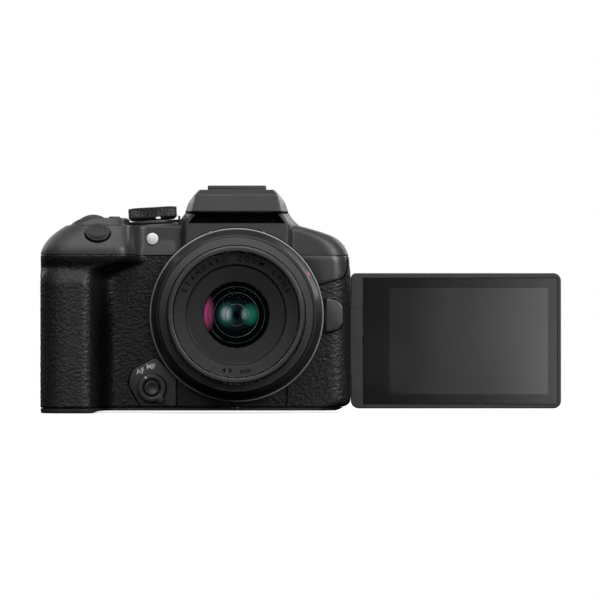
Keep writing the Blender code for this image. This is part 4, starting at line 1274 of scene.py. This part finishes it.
def make_front_controls():
    """Lens release button, focus lever and the button in its middle."""
    release = outline_block("release_button", RELEASE_CORNERS, 0, -21.2, -16.2, 0.7)
    finish(release, "control_satin", "lens_release_button", "lens_release_button")
    x, z = LEVER_AT
    outline = [(LEVER_BORE, 0.0), (5.7, 0.0), (5.9, 0.3), (5.85, 1.8), (5.4, 2.4), (4.2, 2.5),
               (3.6, 2.3), (LEVER_BORE, 2.0)]
    lever = spun("focus_ring", soften(outline, 0.25), (x, BODY_FRONT - GAP, z), (0, -1, 0), 96)
    tab = block("tab", (3.8, -21.3, -1.5), (7.0, BODY_FRONT - GAP, 1.5), 0.4)
    tab.matrix_world = (Matrix.Translation(at(x, 0, z))
                        @ Matrix.Rotation(math.radians(53.0), 4, "Y")
                        @ Matrix.Translation(-at(0, 0, 0)))
    join(lever, tab)
    cut(lever, rod_y("bore", x, z, LEVER_BORE, -30.0, -10.0))
    finish(lever, "control_satin", "af_mf_lever", "af_mf_lever")
    dot = knob("focus_dot", (x - 2.5, BODY_FRONT - GAP, z + 4.2), (0, -1, 0), 0.42, 2.3, 2.52, 0.05,
               0.0, 24)
    finish(dot, "mark_paint", "af_mf_lever")
    button = knob("preview_cap", (x, BODY_FRONT, z), (0, -1, 0), 3.0, -2.1, 3.4, 0.6, 0.5)
    finish(button, "control_satin", "preview_button", "preview_button", sharp=0.0)
    for name, word, size, x, z, turn in (("auto_mark", "AF", 3.0, -38.3, 16.3, -14.0),
                                         ("manual_mark", "MF", 2.9, -34.1, 18.1, -3.0)):
        lettering(name, word, size, (x, BODY_FRONT - 0.02, z),
                  Matrix.Rotation(math.radians(turn), 4, "Y") @ FACE_FRONT, "root")


def make_rear_controls():
    """Buttons, cross pad and joystick on the back."""
    for name, (x, z, radius) in {**REAR_BUTTONS, **TOP_REAR_BUTTONS}.items():
        button = knob(name + "_cap", (x, 0.0, z), (0, 1, 0), radius, 12.4, 17.1, 0.4, 0.15)
        finish(button, "satin_ring", name, name, sharp=0.0)
    x, z, radius = JOYSTICK
    outline = [(0.0, 12.0), (2.0, 12.0), (2.0, 16.7), (2.8, 16.8), (3.0, 17.4), (2.6, 18.2),
               (2.2, 18.4), (1.2, 18.1), (0.0, 18.0)]
    stick = spun("joystick_cap", soften(outline, 0.3), (x, 0.0, z), (0, 1, 0), 64)
    finish(stick, "rubber", "joystick", "joystick", sharp=40.0)
    x, z = PAD_AT
    outline = [(4.3, 13.6), (PAD_R, 13.6), (PAD_R, 16.2), (8.8, 17.1), (6.6, 16.8), (4.7, 17.1),
               (4.3, 16.9)]
    pad = spun("direction_pad", soften(outline, 0.4), (x, 0.0, z), (0, 1, 0), 128)
    finish(pad, "satin_ring", "cross_pad", "cross_pad", sharp=40.0)
    button = knob("set_cap", (x, 0.0, z), (0, 1, 0), 4.0, 12.6, 17.6, 0.5, 0.25)
    finish(button, "satin_ring", "set_button", "set_button", sharp=0.0)


# ---------------------------------------------------------------- screen

def screen_outline():
    """Outline of the screen."""
    return rounded(((SCREEN_RIGHT, SCREEN_LOW, 3.0), (SCREEN_RIGHT, SCREEN_HIGH, 3.0),
                    (SCREEN_LEFT, SCREEN_HIGH, 2.0), (SCREEN_LEFT, SCREEN_LOW, 3.0)))


def hinge_space(right, radius):
    """A disc about the tilt axis that the hinge arm fills, as far as a right end."""
    return rod("hinge_space", (40.0, HINGE_Y, TILT_Z), (right, HINGE_Y, TILT_Z), radius, 128)


def arm_clearance():
    """What the hinge arm and its stub take out of the screen."""
    return [rod("hole", (50.0, HINGE_Y, TILT_Z), (53.4, HINGE_Y, TILT_Z), 2.1),
            hinge_space(ARM_SPACE, ARM_HALF + 0.12)]


def make_screen():
    """Vari-angle screen: hinge arm, bezel, glass with its picture area, and back."""
    middle = (SCREEN_FRONT + SCREEN_BACK) / 2.0
    bezel = slab("screen_bezel", screen_outline(), SCREEN_FRONT, middle - GAP / 2, "Y", 0.35)
    cut(bezel, block("glass_hole", (ARM_SPACE, 0.0, 2.7), (129.0, 10.5, 53.8)), *arm_clearance())
    finish(bezel, "side_satin", "screen", "screen_frame", sharp=12.0)
    back = slab("screen_lid", screen_outline(), middle + GAP / 2, SCREEN_BACK, "Y", 0.6, 4)
    cut(back, *arm_clearance())
    finish(back, "shell_plastic", "screen", "screen_back", sharp=12.0)
    glass = block("screen_cover", (50.8, SCREEN_FRONT, 3.0), (128.7, 10.2, 53.5))
    finish(glass, "screen_glass", "screen", "screen_glass")
    picture = block("picture_area", (61.2, SCREEN_FRONT - 0.02, 6.9),
                    (125.0, SCREEN_FRONT + 0.2, 49.6))
    finish(picture, "picture_glass", "screen")
    arm = block("swing_arm", (45.0, SCREEN_FRONT + 0.2, TILT_Z - 20.0),
                (ARM_SPACE - 0.1, SCREEN_BACK - 0.2, TILT_Z + 20.0), 0.3)
    keep(arm, hinge_space(60.0, ARM_HALF))
    join(arm, rod("knuckle", (SWING_X, HINGE_Y, TILT_Z - ARM_HALF + 0.3),
                  (SWING_X, HINGE_Y, TILT_Z + ARM_HALF - 0.3), 2.7, 64),
         rod("stub", (49.0, HINGE_Y, TILT_Z), (53.0, HINGE_Y, TILT_Z), 1.8))
    finish(arm, "side_satin", "screen_arm", "screen_arm", sharp=12.0)


# ---------------------------------------------------------------- lens

def lens_part(name, outline, look, body, *nodes, fillet=0.0, wave=None, steps=TURN_STEPS,
              sharp=30.0):
    """A turned lens piece; distances run forward from the image plane."""
    made = spun(name, soften(outline, fillet) if fillet else outline, (0, 0, AXIS_Z), (0, -1, 0),
                steps, wave)
    finish(made, look, body, *nodes, sharp=sharp)


def dome(radius, front, back, bulge):
    """Half section of a lens element with a domed front."""
    steps = 16
    points = [(0.0, back), (radius, back)]
    for i in range(steps, -1, -1):
        r = radius * i / steps
        points.append((r, front - bulge * (r / radius) ** 2))
    return points


def baffle_outline():
    """Front bezel: name ring, then fine stepped grooves that run down to the glass."""
    points = [(12.9, 54.4), (20.5, 60.0), (24.3, 60.8), (24.3, 62.0), (19.7, 61.3), (19.3, 60.5)]
    steps = 10
    for k in range(steps):
        share = k / steps
        r = 18.9 - 6.0 * share
        t = 60.2 - 4.4 * share
        points += [(r, t), (r - 0.30, t), (r - 0.36, t - 0.42)]
    points.append((12.9, 55.6))
    return points


def ring_words(name, words, middle, step):
    """Dark words round the name ring, centred on an angle, step degrees from letter to letter."""
    outward = 1.0 if middle < 180.0 else -1.0
    for i, letter in enumerate(words):
        if letter == " ":
            continue
        turn = math.radians(middle - outward * step * (i - (len(words) - 1) / 2.0))
        spot = (NAME_R * math.cos(turn), NAME_Y, AXIS_Z + NAME_R * math.sin(turn))
        spin = Matrix.Rotation(math.pi / 2.0 * outward - turn, 4, "Y")
        lean = Matrix.Rotation(NAME_SLOPE * outward, 4, "X")
        lettering(f"{name}_{i}", letter, 2.7, spot, spin @ FACE_FRONT @ lean, "inner_barrel",
                  "flocking_and_painted_shade", 0.14)


def make_barrel():
    """Fixed barrel, with a light grey ring painted on the edge of its flange as a highlight."""
    barrel = [(27.6, 58.0), (28.6, 58.0), (28.6, 33.0), (31.0, 33.0), (31.6, 32.6),
              (33.75, 27.2), (34.2, 26.75), (BARREL_R, 26.3), (BARREL_R, 21.3), (33.7, 20.3),
              (30.3, 20.3), (30.3, 21.7), (27.6, 21.7)]
    lens_part("fixed_barrel", barrel, "satin_ring", "lens", "lens_barrel", fillet=0.12)
    # painted highlight: a light grey ring on the flange's edge
    edge = [(33.8, 27.0), (34.05, 27.18), (34.4, 26.75), (34.3, 26.4)]
    lens_part("painted_highlight_edge", edge, "painted_highlight_satin", "lens")


def make_rings():
    """Ribbed zoom ring and knurled control ring, with a black sheet of painted shade in the gap between
    them.
    """
    ribs = straight_ribs(ZOOM_R, 34.4, 48.8, 0.42, 90)
    layers = [(ZOOM_R, float(t)) for t in np.linspace(34.6, 48.6, 8)]
    zoom = [(RING_BORE, 33.3), (31.0, 33.3), (ZOOM_R, 33.8), *layers, (ZOOM_R, 49.4), (30.4, 50.5),
            (RING_BORE, 50.5)]
    lens_part("zoom_grip", zoom, "rubber", "zoom_ring", "zoom_ring", wave=ribs, steps=ZOOM_STEPS)
    knurl = diamond_knurl(CONTROL_R, 52.0, 56.8, 0.3, 120, 10.0)
    layers = [(CONTROL_R, float(t)) for t in np.linspace(52.2, 56.6, 6)]
    control = [(RING_BORE, 50.8), (29.8, 50.8), (CONTROL_R, 51.3), *layers, (CONTROL_R, 59.2),
               (29.9, 59.6), (27.3, 60.0), (27.3, 58.3), (RING_BORE, 58.3)]
    lens_part("control_grip", control, "satin_ring", "control_ring", "control_ring", wave=knurl,
              steps=CONTROL_STEPS)
    # a black sheet of painted shade in the gap between the zoom ring and the control ring
    gap_shade = [(29.6, 50.85), (30.5, 50.85), (30.5, 51.15), (29.6, 51.15)]
    lens_part("ring_gap_shade", gap_shade, "flocking_and_painted_shade", "control_ring")


def make_front_group():
    """Sliding inner barrel with its filter thread, front bezel, and the glass behind it, with glowing
    painted reflections deep inside.
    """
    inner = [(25.3, 38.0), (INNER_R, 38.0), (INNER_R, 63.7), (26.3, FRONT_T), (24.9, FRONT_T)]
    for k in range(6):
        inner += [(24.6, FRONT_T - 0.3 - 0.6 * k), (24.95, FRONT_T - 0.6 - 0.6 * k)]
    inner += [(24.6, 60.6), (25.3, 60.2)]
    lens_part("sliding_barrel", inner, "satin_ring", "inner_barrel", "inner_barrel", fillet=0.2)
    lens_part("name_bezel", baffle_outline(), "lens_black", "inner_barrel", "front_bezel", sharp=25.0)
    lens_part("front_glass", dome(GLASS_R, 56.4, 52.6, 2.2), "lens_glass", "inner_barrel",
              "front_element")
    outer_seat = [(8.9, 50.6), (12.45, 52.0), (12.7, 52.2), (12.7, 49.4), (8.9, 49.4)]
    # the seat glows with a painted magenta reflection
    lens_part("outer_seat", outer_seat, "painted_magenta_reflection", "inner_barrel")
    for name, radius, depth in (("rim_outer", 10.9, 51.6), ("rim_inner", 8.5, 50.9),
                                ("rim_pupil", 4.1, 50.45)):
        hoop = [(radius, depth - 0.5), (radius + 0.28, depth - 0.5), (radius + 0.28, depth),
                (radius, depth + 0.05)]
        lens_part(name, hoop, "rim_black", "inner_barrel", fillet=0.05)
    # an element deep in the lens that glows with painted reflections
    lens_part("reflection_painted_element", dome(9.4, 50.3, 49.5, 0.5), "painted_reflection", "inner_barrel")


def make_lens_marks():
    """Words on the name ring, and the mounting index on the barrel."""
    ring_words("name_mark", "STANDARD ZOOM LENS", 90.0, 7.6)
    ring_words("thread_mark", "49 mm", 270.0, 6.2)
    across = math.cos(INDEX_ANGLE)
    up = math.sin(INDEX_ANGLE)
    dot = knob("mount_index", (INDEX_R * across, -29.8, AXIS_Z + INDEX_R * up),
               Vector((across * 0.9, -0.44, up * 0.9)), 0.75, -0.5, 0.14, 0.12, 0.0, 40)
    finish(dot, "red_paint", "lens")


def make_inside():
    """Finishes of the CAD pieces that stay: the mount, the sensor and the works."""
    stays = {
        "front_shell": "flocking_and_painted_shade",
        "mount_ring": "bright_metal", "lens_mount": "bright_metal", "rear_element": "eye_glass",
        "focus_group": "eye_glass", "chassis": "alloy", "shutter_frame": "dark_metal",
        "shutter_curtain": "dark_metal", "image_sensor": "eye_glass", "main_board": "circuit",
        "battery": "smooth_plastic", "memory_card": "smooth_plastic", "port_block": "dark_metal",
    }
    for name, look in stays.items():
        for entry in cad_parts[name].material_slots:
            entry.material = LOOKS[look]


def make_looks():
    """All the finishes by name."""
    LOOKS.update({
        "shell_plastic": shell_plastic(),
        "smooth_plastic": shell_plastic("smooth_plastic", (0.018, 0.018, 0.020), (0.34, 0.42)),
        "leatherette": leatherette(),
        "rubber": rubber(),
        "satin_ring": satin_ring(),
        "lens_black": bezel_black(),
        "bright_metal": metal("bright_metal", (0.62, 0.62, 0.63), 0.22, 0.32),
        "dark_metal": metal("dark_metal", (0.06, 0.06, 0.065), 0.35, 0.5),
        "shoe_metal": metal("shoe_metal", (0.045, 0.045, 0.048), 0.32, 0.45),
        "alloy": metal("alloy", (0.35, 0.35, 0.36), 0.4, 0.55),
        "circuit": paint("circuit", (0.02, 0.10, 0.05), 0.5),
        "mark_paint": paint("mark_paint", (0.85, 0.85, 0.83)),
        "red_paint": paint("red_paint", (0.55, 0.03, 0.03), 0.35),
        "lamp_lens": paint("lamp_lens", (0.56, 0.56, 0.56), 0.22),
        "frosted": clear_plate("frosted", (0.35, 0.35, 0.36), 0.3),
        "lens_glass": lens_glass(),
        # painted reflections: glowing glints on the element deep in the lens, and a painted magenta
        # reflection on its seat
        "painted_reflection": painted_reflection("painted_reflection", (0.002, 0.004, 0.005), PAINTED_REFLECTION_SPOTS),
        "painted_magenta_reflection": painted_reflection("painted_magenta_reflection", (0.002, 0.003, 0.003), PAINTED_MAGENTA_SPOTS),
        "dark_cap": dark_cap(),
        "side_satin": shell_plastic("side_satin", (0.018, 0.018, 0.020), (0.38, 0.46)),
        "control_satin": shell_plastic("control_satin", (0.030, 0.030, 0.032), (0.36, 0.44)),
        "dial_metal": metal("dial_metal", (0.10, 0.10, 0.105), 0.30, 0.38),
        # flat black for the inside and the printed words, and for black sheets of painted shade
        "flocking_and_painted_shade": ink("flocking_and_painted_shade", (0.002, 0.002, 0.002)),
        # painted highlight for the edge of the lens flange
        "painted_highlight_satin": paint("painted_highlight_satin", (0.24, 0.24, 0.25), 0.3),
        "rim_black": ink("rim_black", (0.05, 0.055, 0.058)),
        "eye_glass": clear_plate("eye_glass", (0.008, 0.010, 0.012), 0.06),
        "screen_glass": clear_plate("screen_glass", (0.001, 0.001, 0.0012), 0.15, 0.0, 0.30),
        "picture_glass": clear_plate("picture_glass", (0.0022, 0.0025, 0.0027), 0.15, 0.0, 0.5),
    })


for make in (make_camera, make_studio, make_looks, make_skins, make_base, make_rear, make_top,
             make_flash, make_shoe, make_top_controls, make_viewfinder, make_front_controls,
             make_rear_controls, make_screen, make_barrel, make_rings, make_front_group,
             make_lens_marks, make_inside):
    make()
